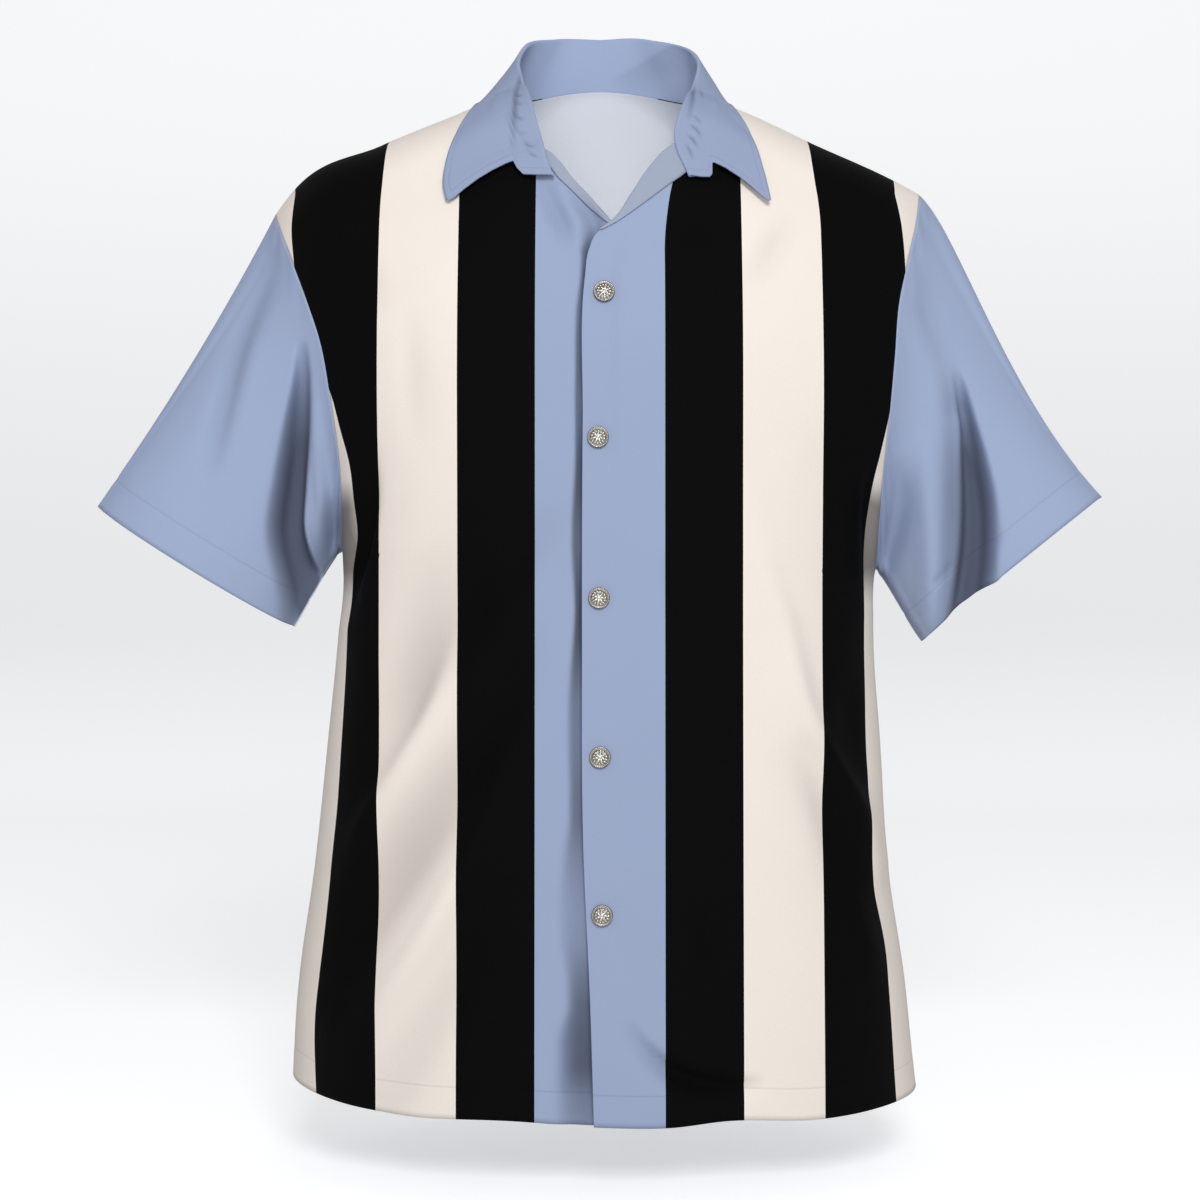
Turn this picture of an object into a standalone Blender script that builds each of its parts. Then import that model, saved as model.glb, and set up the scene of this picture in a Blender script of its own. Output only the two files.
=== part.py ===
"""Men's short-sleeved bowling shirt, standing filled out with no wearer.

Metres, +Z up. The front looks along -Y and the wearer's left is at +X. The origin is midway
between the two neck points, where the shoulder seams meet the collar seam and the shirt hangs
from its wearer. Every cloth piece is a grid of points worked out from the sizes below, made
into a closed wall, and parted from its neighbours by a narrow gap at the seams.
"""

import math

import bmesh
import bpy
import numpy as np
from mathutils import Vector

# Driving sizes.
CLOTH = 0.0014                  # thickness of a cloth wall
SEAM_GAP = 0.0003               # between the pieces at a seam
RING_POWER = 2.5                # how square the torso's rings are, 2 is an ellipse
SHOULDER_ROUND = 0.040          # drop over which the shoulder rounds into the chest
CHEST_DROP = 0.22               # drop from the shoulder line to the fullest chest
BLADE_DROP = 0.17               # the same at the back, down to the shoulder blades

# Torso rings: height, half width to the wearer's right and left, depth to the front and back.
RINGS = np.array([
    # height, right,  left,   front,  back
    (-0.745, 0.2290, 0.2360, 0.1370, 0.1270),
    (-0.700, 0.2270, 0.2310, 0.1360, 0.1260),
    (-0.660, 0.2245, 0.2270, 0.1340, 0.1240),
    (-0.570, 0.2120, 0.2140, 0.1310, 0.1220),
    (-0.480, 0.2025, 0.2085, 0.1280, 0.1210),
    (-0.405, 0.1950, 0.2035, 0.1260, 0.1200),
    (-0.360, 0.1915, 0.2043, 0.1250, 0.1190),
    (-0.340, 0.1917, 0.2065, 0.1250, 0.1190),
    (-0.320, 0.1930, 0.2100, 0.1245, 0.1190),
    (-0.290, 0.1995, 0.2170, 0.1240, 0.1190),
    (-0.235, 0.2190, 0.2360, 0.1240, 0.1190),
    (-0.190, 0.2330, 0.2450, 0.1240, 0.1180),
    (-0.155, 0.2440, 0.2475, 0.1240, 0.1160),
    (-0.120, 0.2460, 0.2470, 0.1240, 0.1140),
    (0.030, 0.2460, 0.2470, 0.1240, 0.1120),
])

# The line of the shoulders over the top of the torso, seen from the front.
SHOULDER_LINE = np.array([
    # x,      height
    (-0.246, -0.0900),
    (-0.228, -0.0675),
    (-0.162, -0.0355),
    (-0.101, -0.0110),
    (-0.075, 0.0000),
    (0.075, 0.0000),
    (0.100, -0.0085),
    (0.158, -0.0345),
    (0.222, -0.0625),
    (0.244, -0.0740),
])

# Side seam and armhole of each front, from the underarm to the shoulder: height and x.
ARMHOLE_RIGHT = np.array([
    # height, x
    (-0.3400, -0.1915),
    (-0.3200, -0.1895),
    (-0.2900, -0.1880),
    (-0.2310, -0.1935),
    (-0.1880, -0.2015),
    (-0.1580, -0.2120),
    (-0.1290, -0.2240),
    (-0.1040, -0.2350),
    (-0.0860, -0.2430),
])
ARMHOLE_LEFT = np.array([
    # height, x
    (-0.3540, 0.2045),
    (-0.3360, 0.2040),
    (-0.3000, 0.2045),
    (-0.2380, 0.2085),
    (-0.2000, 0.2120),
    (-0.1580, 0.2165),
    (-0.1270, 0.2245),
    (-0.1000, 0.2320),
    (-0.0705, 0.2385),
])
BACK_ARMHOLE_EASE = 0.008       # how much wider the back is cut across its armholes

# Inner edge of each front, from the hem up the closure and the V to the neck point.
# The wearer's left front lies on top, so the right front runs on beneath it.
CLOSURE_LEFT = np.array([
    # height, x
    (-0.7390, -0.0042),
    (-0.6500, -0.0070),
    (-0.5500, -0.0115),
    (-0.4000, -0.0125),
    (-0.2500, -0.0120),
    (-0.1500, -0.0105),
    (-0.1310, -0.0078),
    (-0.1180, -0.0015),
    (-0.1100, 0.0090),
    (-0.0904, 0.0225),
    (-0.0674, 0.0370),
    (-0.0535, 0.0490),
    (-0.0440, 0.0630),
    (-0.0240, 0.0720),
    (0.0000, 0.0750),
])
CLOSURE_RIGHT = np.array([
    # height, x
    (-0.7330, 0.0180),
    (-0.6500, 0.0180),
    (-0.5500, 0.0180),
    (-0.4000, 0.0180),
    (-0.2500, 0.0180),
    (-0.1500, 0.0180),
    (-0.1280, 0.0165),
    (-0.1110, 0.0085),
    (-0.0970, -0.0030),
    (-0.0867, -0.0115),
    (-0.0760, -0.0215),
    (-0.0640, -0.0300),
    (-0.0575, -0.0360),
    (-0.0470, -0.0535),
    (-0.0260, -0.0690),
    (0.0000, -0.0750),
])

# Hem line round the front, which drops a little towards the top layer.
HEM_LINE = np.array([
    # x,      height
    (-0.229, -0.7240),
    (-0.150, -0.7340),
    (-0.060, -0.7350),
    (0.000, -0.7385),
    (0.050, -0.7390),
    (0.090, -0.7355),
    (0.150, -0.7380),
    (0.236, -0.7330),
])

# Largest folds of the panels: a trough sinks, a ridge (negative depth) stands out.
# Each runs from a start over a middle to an end, all x and height on the panel.
RIGHT_FRONT_FOLDS = [
    # start            middle            end               half width, depth
    ((-0.056, -0.240), (-0.115, -0.360), (-0.141, -0.460), 0.017, 0.0070),
    ((-0.075, -0.370), (-0.120, -0.460), (-0.178, -0.565), 0.013, -0.0050),
    ((-0.062, -0.440), (-0.110, -0.520), (-0.195, -0.670), 0.022, 0.0090),
    ((-0.062, -0.490), (-0.115, -0.580), (-0.178, -0.695), 0.015, -0.0050),
    ((-0.018, -0.580), (-0.014, -0.660), (-0.010, -0.735), 0.015, 0.0060),
]
LEFT_FRONT_FOLDS = [
    # start            middle            end               half width, depth
    ((0.128, -0.390), (0.145, -0.460), (0.205, -0.600), 0.015, -0.0060),
    ((0.147, -0.480), (0.160, -0.530), (0.185, -0.590), 0.014, 0.0045),
    ((0.029, -0.683), (0.054, -0.700), (0.107, -0.712), 0.009, 0.0045),
]
BACK_FOLDS = [
    # start            middle            end               half width, depth
    ((-0.150, -0.330), (-0.115, -0.430), (-0.060, -0.560), 0.018, 0.0070),
    ((0.165, -0.350), (0.120, -0.470), (0.075, -0.640), 0.020, 0.0080),
    ((-0.185, -0.470), (-0.150, -0.580), (-0.120, -0.720), 0.018, -0.0055),
    ((0.190, -0.500), (0.165, -0.600), (0.150, -0.730), 0.017, 0.0060),
]

FOLD_STEPS = 25                 # places along a fold that its distance is measured from
FOLD_END_SHARE = 0.08           # of half a wave, so that a fold still shows at its ends
SEAM_FADE = 1.0 / 6.0           # share of a panel's width over which folds fade to its side
TOP_FADE = 0.25                 # share of the rows beside the arm over which they fade upwards

# Top layer of the closure: it lies over the under layer and sinks back to the torso beside it.
OVERLAP_LIFT = CLOTH + 2.0 * SEAM_GAP + 0.0004
OVERLAP_FROM = 0.030
OVERLAP_TO = 0.085
OVERLAP_TOP = -0.050
OVERLAP_FADE = 0.040            # height over which it begins, down from its top

# Grid of the panels. The inner heights are those of the fronts' upper rows at the closure
# and the V, closer together where the V begins.
ROWS_BELOW_ARM = 12
ROWS_BESIDE_ARM = 16
FRONT_COLUMNS = 17
BACK_HALF_COLUMNS = 13
BACK_NECK_COLUMNS = 6
INNER_HEIGHTS_RIGHT = (-0.300, -0.255, -0.212, -0.172, -0.142, -0.120, -0.104, -0.091,
                       -0.078, -0.067, -0.0575, -0.047, -0.031, -0.016, -0.005, 0.000)
INNER_HEIGHTS_LEFT = (-0.300, -0.255, -0.212, -0.172, -0.142, -0.122, -0.108, -0.094,
                      -0.080, -0.066, -0.0535, -0.044, -0.029, -0.015, -0.005, 0.000)
GORGE_ROW = ROWS_BELOW_ARM + 12  # where the collar's roll ends and the revers begins

# Neck opening.
NECK_HALF_WIDTH = 0.075
FRONT_NECK_RISE = 0.012         # of the front's surface between the neck points
BACK_NECK_RISE = 0.0565         # of the back's surface there
BACK_NECK_HEIGHT = 0.0225       # of the back neck seam's middle
BACK_ROW_POWER = 1.5            # how the back's rows crowd towards the neck

# Facings: where they turn out along the V as narrow revers, as rows of the front and the
# width of the turned part.
FACING = 0.0010                 # thickness of a facing's wall
FACING_INSIDE = 0.009           # how far it reaches behind the front's edge
REVERS_RIGHT = np.array([
    # row,                  width
    (ROWS_BELOW_ARM + 7.25, 0.0025),
    (ROWS_BELOW_ARM + 8.00, 0.0050),
    (ROWS_BELOW_ARM + 9.00, 0.0065),
    (ROWS_BELOW_ARM + 10.00, 0.0065),
    (ROWS_BELOW_ARM + 10.75, 0.0035),
])
REVERS_LEFT = np.array([
    (ROWS_BELOW_ARM + 7.25, 0.0030),
    (ROWS_BELOW_ARM + 8.00, 0.0080),
    (ROWS_BELOW_ARM + 9.00, 0.0150),
    (ROWS_BELOW_ARM + 10.00, 0.0230),
    (ROWS_BELOW_ARM + 10.75, 0.0078),
])

# Collar: half its length runs from the middle of the back (0) over the neck point (0.5)
# and the gorge (0.87) to its end (1). At each section the stand rises to a roll, and the
# fall comes down from the roll to the outer edge.
COLLAR = 0.0012                 # thickness of the collar's wall
COLLAR_ROLL = 0.0018            # half the distance between the stand and the fall
COLLAR_BOW = 0.004              # how far the fall bulges between the roll and its edge
COLLAR_LAP = 0.002              # how far its base laps over the panels' neck edge
COLLAR_SEAT = 0.0009            # between its base and the panels
COLLAR_END_FROM = 0.55          # place from which the ends' shape tells along the collar
STAND_COVER = (0.62, 0.20)      # where across the fall the stand under it ends, and its fade
OUTLINE_DROP = 0.20             # the torso's outline under the collar: height and points
OUTLINE_STEPS = 90
GORGE_PLACE = 0.87
GORGE_COLUMNS = 3               # of the collar along each gorge
COLLAR_RIGHT = np.array([
    # place, roll x,  roll y,  roll z,  edge x,  edge y,  edge z
    (0.00, 0.0000, 0.0800, 0.0635, 0.0000, 0.1000, 0.0040),
    (0.25, -0.0340, 0.0700, 0.0615, -0.0500, 0.0920, 0.0000),
    (0.40, -0.0540, 0.0400, 0.0500, -0.0860, 0.0600, -0.0065),
    (0.50, -0.0600, 0.0000, 0.0270, -0.1005, 0.0040, -0.0080),
    (0.68, -0.0530, -0.0500, -0.0140, -0.1100, -0.0480, -0.0450),
    (0.87, -0.0405, -0.0920, -0.0550, -0.1130, -0.0750, -0.0760),
    (1.00, -0.0333, -0.1000, -0.0760, -0.1100, -0.0840, -0.0925),
])
COLLAR_LEFT = np.array([
    (0.00, 0.0000, 0.0800, 0.0635, 0.0000, 0.1000, 0.0040),
    (0.25, 0.0360, 0.0700, 0.0615, 0.0540, 0.0920, 0.0000),
    (0.40, 0.0660, 0.0400, 0.0470, 0.0960, 0.0600, -0.0065),
    (0.50, 0.0725, 0.0000, 0.0260, 0.0985, 0.0040, -0.0050),
    (0.68, 0.0630, -0.0500, -0.0190, 0.1090, -0.0480, -0.0430),
    (0.87, 0.0545, -0.0850, -0.0500, 0.1170, -0.0740, -0.0700),
    (1.00, 0.0640, -0.0920, -0.0770, 0.1210, -0.0810, -0.0920),
])
# The collar's base on the front past the gorge: row of the front and distance from its edge.
GORGE_END_RIGHT = (ROWS_BELOW_ARM + 10.1, 0.0190)
GORGE_END_LEFT = (ROWS_BELOW_ARM + 10.35, 0.0370)
# Ends of the collar: how far each line along it reaches, from the roll (0) to the outer
# edge (1). The step is the notch, and the last row the point.
COLLAR_END = np.array([
    # across, right, left
    (0.00, 1.000, 1.000),
    (0.12, 0.985, 0.995),
    (0.24, 0.965, 0.985),
    (0.32, 0.894, 0.970),
    (0.42, 0.912, 0.915),
    (0.60, 0.930, 0.935),
    (0.80, 0.955, 0.975),
    (1.00, 1.000, 1.000),
])

# Buttons: places on the top front and their turned profile.
BUTTONS = [
    # x, height
    (0.0028, -0.1606),
    (-0.0014, -0.2619),
    (-0.0007, -0.3736),
    (0.0000, -0.4839),
    (0.0014, -0.5928),
]
BUTTON_PROFILE = [
    # radius, height above the cloth
    (0.0000, 0.0030),
    (0.0046, 0.0026),
    (0.0058, 0.0020),
    (0.0065, 0.0026),
    (0.0073, 0.0022),
    (0.0074, 0.0006),
    (0.0066, 0.0000),
    (0.0000, 0.0000),
]
BUTTON_STEPS = 16

# Cuffs, as the outer and inner end of an oval, and the sleeves' folds: angle round the
# sleeve at the armhole and at the cuff (0 at the shoulder, 90 in front), where along the
# sleeve the fold begins, its half width as an angle, and its depth.
CUFF_RIGHT_OUTER = (-0.3765, -0.008, -0.3030)
CUFF_RIGHT_INNER = (-0.2280, -0.008, -0.3945)
CUFF_LEFT_OUTER = (0.3743, -0.008, -0.2980)
CUFF_LEFT_INNER = (0.2400, -0.008, -0.4058)
CUFF_HALF_DEPTH = 0.052
# How far a sleeve goes on along the torso's surface: everywhere, added at the shoulder, and
# added at the front and back.
SLEEVE_LEAD = (0.012, 0.030, 0.016)
CUFF_LEAD = 0.35                # share of its length that runs straight along the arm
SLEEVE_FOLD_RISE = 0.45         # share of its length over which a sleeve's fold deepens
SLEEVE_ROWS = (0.0, 0.05, 0.11, 0.18, 0.26, 0.35, 0.45, 0.56, 0.67, 0.78, 0.89, 1.0)
SPLIT_FROM = 6
SPLIT_TO = 14
SLEEVE_RIGHT_FOLDS = [
    # armhole, cuff, begins, half angle, depth
    (118.0, 118.0, 0.10, 13.0, 0.016),
    (40.0, 62.0, 0.05, 10.0, 0.004),
    (235.0, 225.0, 0.15, 14.0, 0.010),
]
SLEEVE_LEFT_FOLDS = [
    (85.0, 98.0, 0.12, 13.0, 0.014),
    (60.0, 75.0, 0.05, 10.0, 0.003),
    (245.0, 230.0, 0.15, 14.0, 0.010),
]


# --- Small tools -------------------------------------------------------------------------

def smooth(table, key, column):
    """Value of a table's column at a key, through its rows as an even curve."""
    keys = table[:, 0]
    values = table[:, column]
    slopes = np.gradient(values, keys)
    place = np.clip(np.asarray(key, dtype=float), keys[0], keys[-1])
    row = np.clip(np.searchsorted(keys, place) - 1, 0, len(keys) - 2)
    span = keys[row + 1] - keys[row]
    t = (place - keys[row]) / span
    return (values[row] * (2 * t ** 3 - 3 * t ** 2 + 1)
            + slopes[row] * span * (t ** 3 - 2 * t ** 2 + t)
            + values[row + 1] * (3 * t ** 2 - 2 * t ** 3)
            + slopes[row + 1] * span * (t ** 3 - t ** 2))


def ease(t):
    """0 to 1 with level ends."""
    t = np.clip(t, 0.0, 1.0)
    return t * t * (3.0 - 2.0 * t)


def unit(vectors):
    return vectors / np.linalg.norm(vectors, axis=-1, keepdims=True)


def spaced(points, count):
    """Points at even steps along a line of points."""
    steps = np.linalg.norm(np.diff(points, axis=0), axis=1)
    run = np.concatenate(([0.0], np.cumsum(steps)))
    places = np.linspace(0.0, run[-1], count)
    return np.stack([np.interp(places, run, points[:, axis]) for axis in range(3)], axis=1)


def fold_depth(folds, x, z):
    """How far the folds sink the cloth at a place."""
    total = np.zeros(np.shape(x))
    for start, middle, end, half_width, depth in folds:
        best = np.full(np.shape(x), np.inf)
        strength = np.zeros(np.shape(x))
        for t in np.linspace(0.0, 1.0, FOLD_STEPS):
            line_x = (1 - t) ** 2 * start[0] + 2 * t * (1 - t) * middle[0] + t * t * end[0]
            line_z = (1 - t) ** 2 * start[1] + 2 * t * (1 - t) * middle[1] + t * t * end[1]
            distance = np.hypot(x - line_x, z - line_z)
            nearer = distance < best
            best = np.where(nearer, distance, best)
            phase = FOLD_END_SHARE + (1.0 - 2.0 * FOLD_END_SHARE) * t
            strength = np.where(nearer, math.sin(math.pi * phase), strength)
        total = total + depth * strength * np.exp(-(best / half_width) ** 2)
    return total


def grid_normals(points, closed=False, centre=(0.0, 0.0, 0.0)):
    """Unit normals of a grid of points, over rows and columns, that look away from a centre
    line: an upright one for a panel, or a tube's own rows' middles."""
    along = np.gradient(points, axis=0)
    if closed:
        ring = points[:, :-1]
        across = np.roll(ring, -1, axis=1) - np.roll(ring, 1, axis=1)
        across = np.concatenate((across, across[:, :1]), axis=1)
    else:
        across = np.gradient(points, axis=1)
    normals = unit(np.cross(across, along))
    if closed:
        away = points - points.mean(axis=1, keepdims=True)
    else:
        away = (points - np.array(centre)) * np.array((1.0, 1.0, 0.0))
    return normals * np.sign((normals * away).sum())


# --- Building ----------------------------------------------------------------------------

def clear_scene():
    for old in list(bpy.data.objects):
        bpy.data.objects.remove(old, do_unlink=True)


def add_material(name, colour, roughness, metallic):
    material = bpy.data.materials.new(name)
    material.use_nodes = True
    shader = material.node_tree.nodes["Principled BSDF"]
    shader.inputs["Base Color"].default_value = (*colour, 1.0)
    shader.inputs["Roughness"].default_value = roughness
    shader.inputs["Metallic"].default_value = metallic
    return material


def add_object(name, mesh, material):
    mesh.materials.append(material)
    piece = bpy.data.objects.new(name, mesh)
    shirt.objects.link(piece)
    return piece


def cloth_wall(name, points, normals, material, thickness=CLOTH):
    """Closed wall whose outer side has the grid's points and whose inner side lies a
    thickness behind them. A grid whose last column repeats the first becomes a tube."""
    rows, columns = points.shape[:2]
    work = bmesh.new()
    bmesh.ops.create_grid(work, x_segments=columns - 1, y_segments=rows - 1, size=1.0)
    work.verts.ensure_lookup_table()
    outer = work.verts.layers.int.new("grid_place")
    flat_points = points.reshape(-1, 3)
    flat_inner = (points - normals * thickness).reshape(-1, 3)
    for place, vert in enumerate(work.verts):
        vert.co = Vector(flat_points[place])
        vert[outer] = place
    bmesh.ops.remove_doubles(work, verts=work.verts, dist=0.000001)
    made = bmesh.ops.extrude_face_region(work, geom=work.faces[:], use_keep_orig=True)
    for item in made["geom"]:
        if isinstance(item, bmesh.types.BMVert):
            item.co = Vector(flat_inner[item[outer]])
    bmesh.ops.recalc_face_normals(work, faces=work.faces)
    if work.calc_volume(signed=True) < 0.0:
        bmesh.ops.reverse_faces(work, faces=work.faces)
    mesh = bpy.data.meshes.new(name)
    work.to_mesh(mesh)
    work.free()
    mesh.shade_smooth()
    mesh.set_sharp_from_angle(angle=math.radians(50))
    return add_object(name, mesh, material)


# --- Torso -------------------------------------------------------------------------------

def neck_share(x):
    """1 at the middle of the neck opening, 0 at the neck points and beyond."""
    return np.clip(1.0 - (np.asarray(x) / NECK_HALF_WIDTH) ** 2, 0.0, 1.0)


def shoulder_height(x):
    return np.where(np.abs(x) < NECK_HALF_WIDTH, 0.0, smooth(SHOULDER_LINE, x, 1))


def half_width(x_sign, z):
    return smooth(RINGS, z, 1 if x_sign < 0 else 2)


def underarm_height(x):
    """Level of the underarms, which lies a little lower on the wearer's left."""
    right, left = ARMHOLE_RIGHT[0], ARMHOLE_LEFT[0]
    return right[0] + (left[0] - right[0]) * (x - right[1]) / (left[1] - right[1])


def top_height(x, front):
    """Upper end of a panel at x: the shoulder seam, and at the back the neck seam too."""
    return shoulder_height(x) + neck_share(x) * (FRONT_NECK_RISE if front else BACK_NECK_HEIGHT)


def torso_point(x_sign, x, z, front):
    """Point of the torso's front or back at x and z."""
    width = half_width(x_sign, z)
    share = np.clip(np.abs(x) / width, 0.0, 1.0)
    ring = (1.0 - share ** RING_POWER) ** (1.0 / RING_POWER)
    rise = FRONT_NECK_RISE if front else BACK_NECK_RISE
    drop = np.clip(shoulder_height(x) + rise * neck_share(x) - z, 0.0, None)
    # A quick round over the shoulder, then a long slope to the fullest depth.
    over = np.clip(drop / SHOULDER_ROUND, 0.0, 1.0)
    round_part = np.sqrt(1.0 - (1.0 - over) ** 2)
    slope_part = np.sin(0.5 * math.pi * np.clip(drop / (CHEST_DROP if front else BLADE_DROP), 0.0, 1.0))
    depth = smooth(RINGS, z, 3 if front else 4) * ring * 0.5 * (round_part + slope_part)
    return np.stack([x, -depth if front else depth, z], axis=-1)


def overlap_lift(x, z):
    """How far the closure's top layer stands off the torso, over the under layer."""
    lift = OVERLAP_LIFT * ease((OVERLAP_TO - x) / (OVERLAP_TO - OVERLAP_FROM))
    return lift * ease((OVERLAP_TOP - z) / OVERLAP_FADE)


def row_line(x_sign, inner, edge, share, front, samples=160):
    """Dense line across a panel from an inner place to an edge place, each x and height.
    share is how far up the row lies: up to 1 from hem to underarm, up to 2 to the top."""
    half_power = 0.5 * RING_POWER
    angles = []
    for x, z in (inner, edge):
        part = min(abs(x) / float(half_width(x_sign, z)), 1.0)
        angles.append(math.copysign(math.asin(part ** half_power), x * x_sign))
    t = np.linspace(0.0, 1.0, samples)
    angle = angles[0] + (angles[1] - angles[0]) * t
    across = np.sign(angle) * np.abs(np.sin(angle)) ** (1.0 / half_power)
    z = inner[1] + (edge[1] - inner[1]) * t
    for _ in range(6):
        x = x_sign * half_width(x_sign, z) * across
        level = underarm_height(x)
        if share <= 1.0:
            hem = smooth(HEM_LINE, x, 1)
            z = hem + (level - hem) * share
        else:
            climb = []
            for end_x, end_z in (inner, edge):
                base = underarm_height(end_x)
                climb.append((end_z - base) / (top_height(end_x, front) - base))
            z = level + (top_height(x, front) - level) * (climb[0] + (climb[1] - climb[0]) * t)
    return torso_point(x_sign, x, z, front)


def outer_edge(x_sign, ease_out):
    """Side seam and armhole as x and height, from the hem to the shoulder seam."""
    armhole = ARMHOLE_RIGHT if x_sign < 0 else ARMHOLE_LEFT
    underarm = armhole[0, 0]
    tip_x = armhole[-1, 1]
    tip = float(shoulder_height(tip_x))
    hem = float(smooth(HEM_LINE, x_sign, 1))
    below = np.linspace(0.0, 1.0, ROWS_BELOW_ARM + 1)[:-1]
    beside = 0.5 - 0.5 * np.cos(math.pi * np.linspace(0.0, 1.0, ROWS_BESIDE_ARM + 1))
    low = hem + (underarm - hem) * below
    high = underarm + (tip - underarm) * beside
    # The armhole's own heights end at its tip, which lies on the shoulder line.
    own = underarm + (armhole[-1, 0] - underarm) * beside
    cut = smooth(armhole, own, 1) + x_sign * ease_out * np.sin(math.pi * beside)
    cut[0] = x_sign * float(half_width(x_sign, underarm))
    edge_x = np.concatenate((x_sign * half_width(x_sign, low), cut))
    return np.stack((edge_x, np.concatenate((low, high))), axis=1)


def rows_up():
    """How far up each row lies: to 1 from the hem to the underarm, to 2 at the top."""
    below = np.linspace(0.0, 1.0, ROWS_BELOW_ARM + 1)[:-1]
    beside = np.linspace(1.0, 2.0, ROWS_BESIDE_ARM + 1)
    return np.concatenate((below, beside))


def front_panel(x_sign):
    """Grid of a front: rows from the hem to the shoulder seam, columns from the closure
    and the V to the side seam and the armhole."""
    closure = CLOSURE_RIGHT if x_sign < 0 else CLOSURE_LEFT
    edge = outer_edge(x_sign, 0.0)
    low = float(smooth(HEM_LINE, 0.0, 1))
    underarm = float(underarm_height(0.0))
    below = np.linspace(0.0, 1.0, ROWS_BELOW_ARM + 1)[:-1]
    inner_z = np.concatenate((low + (underarm - low) * below, [underarm],
                              INNER_HEIGHTS_RIGHT if x_sign < 0 else INNER_HEIGHTS_LEFT))
    inner_x = smooth(closure, inner_z, 1)
    grid = []
    for row, share in enumerate(rows_up()):
        line = row_line(x_sign, (inner_x[row], inner_z[row]), tuple(edge[row]), share, True)
        grid.append(spaced(line, FRONT_COLUMNS + 1))
    grid = np.array(grid)
    if x_sign > 0:
        grid = grid + grid_normals(grid) * overlap_lift(grid[..., 0], grid[..., 2])[..., None]
    return grid


def back_panel():
    """Grid of the back: rows from the hem to the shoulder seams and the neck seam, columns
    from the wearer's right to left."""
    edges = {sign: outer_edge(sign, BACK_ARMHOLE_EASE) for sign in (-1, 1)}
    low = float(smooth(HEM_LINE, 0.0, 1))
    underarm = float(underarm_height(0.0))
    below = np.linspace(0.0, 1.0, ROWS_BELOW_ARM + 1)[:-1]
    beside = np.linspace(0.0, 1.0, ROWS_BESIDE_ARM + 1)
    high = underarm + (BACK_NECK_HEIGHT - underarm) * (1.0 - (1.0 - beside) ** BACK_ROW_POWER)
    middle_z = np.concatenate((low + (underarm - low) * below, high))
    grid = []
    for row, share in enumerate(rows_up()):
        halves = []
        for sign in (-1, 1):
            line = row_line(sign, (sign * 1e-7, middle_z[row]), tuple(edges[sign][row]), share, False)
            if share == 2.0:
                # The last row turns a corner at the neck point.
                corner = int(np.argmin(np.abs(np.abs(line[:, 0]) - NECK_HALF_WIDTH)))
                neck = spaced(line[:corner + 1], BACK_NECK_COLUMNS + 1)
                shoulder = spaced(line[corner:], BACK_HALF_COLUMNS - BACK_NECK_COLUMNS + 1)
                halves.append(np.concatenate((neck, shoulder[1:])))
            else:
                halves.append(spaced(line, BACK_HALF_COLUMNS + 1))
        grid.append(np.concatenate((halves[0][::-1], halves[1][1:])))
    return np.array(grid)


def folded(grid, normals, folds, seam_shares):
    """The grid with its folds, which fade out towards the seams."""
    depth = fold_depth(folds, grid[..., 0], grid[..., 2]) * seam_shares
    return grid - normals * depth[..., None]


# --- Sleeves -----------------------------------------------------------------------------

def armhole_loop(front, front_normals, back, back_normals, front_column, back_column, x_sign):
    """Loop round an armhole, from the shoulder down the front, under the arm and up the
    back, as points and normals. Both panels keep their own edge, half a gap apart."""
    down = slice(len(front) - 1, ROWS_BELOW_ARM, -1)
    up = slice(ROWS_BELOW_ARM + 1, len(front) - 1)
    tip = 0.5 * (front[-1, front_column] + back[-1, back_column])
    tip_normal = unit(front_normals[-1, front_column] + back_normals[-1, back_column])
    under = 0.5 * (front[ROWS_BELOW_ARM, front_column] + back[ROWS_BELOW_ARM, back_column])
    under_normal = front_normals[ROWS_BELOW_ARM, front_column]
    points = [tip, *front[down, front_column][1:], under, *back[up, back_column]]
    normals = [tip_normal, *front_normals[down, front_column][1:], under_normal,
               *back_normals[up, back_column]]
    return np.array(points), np.array(normals)


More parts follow.
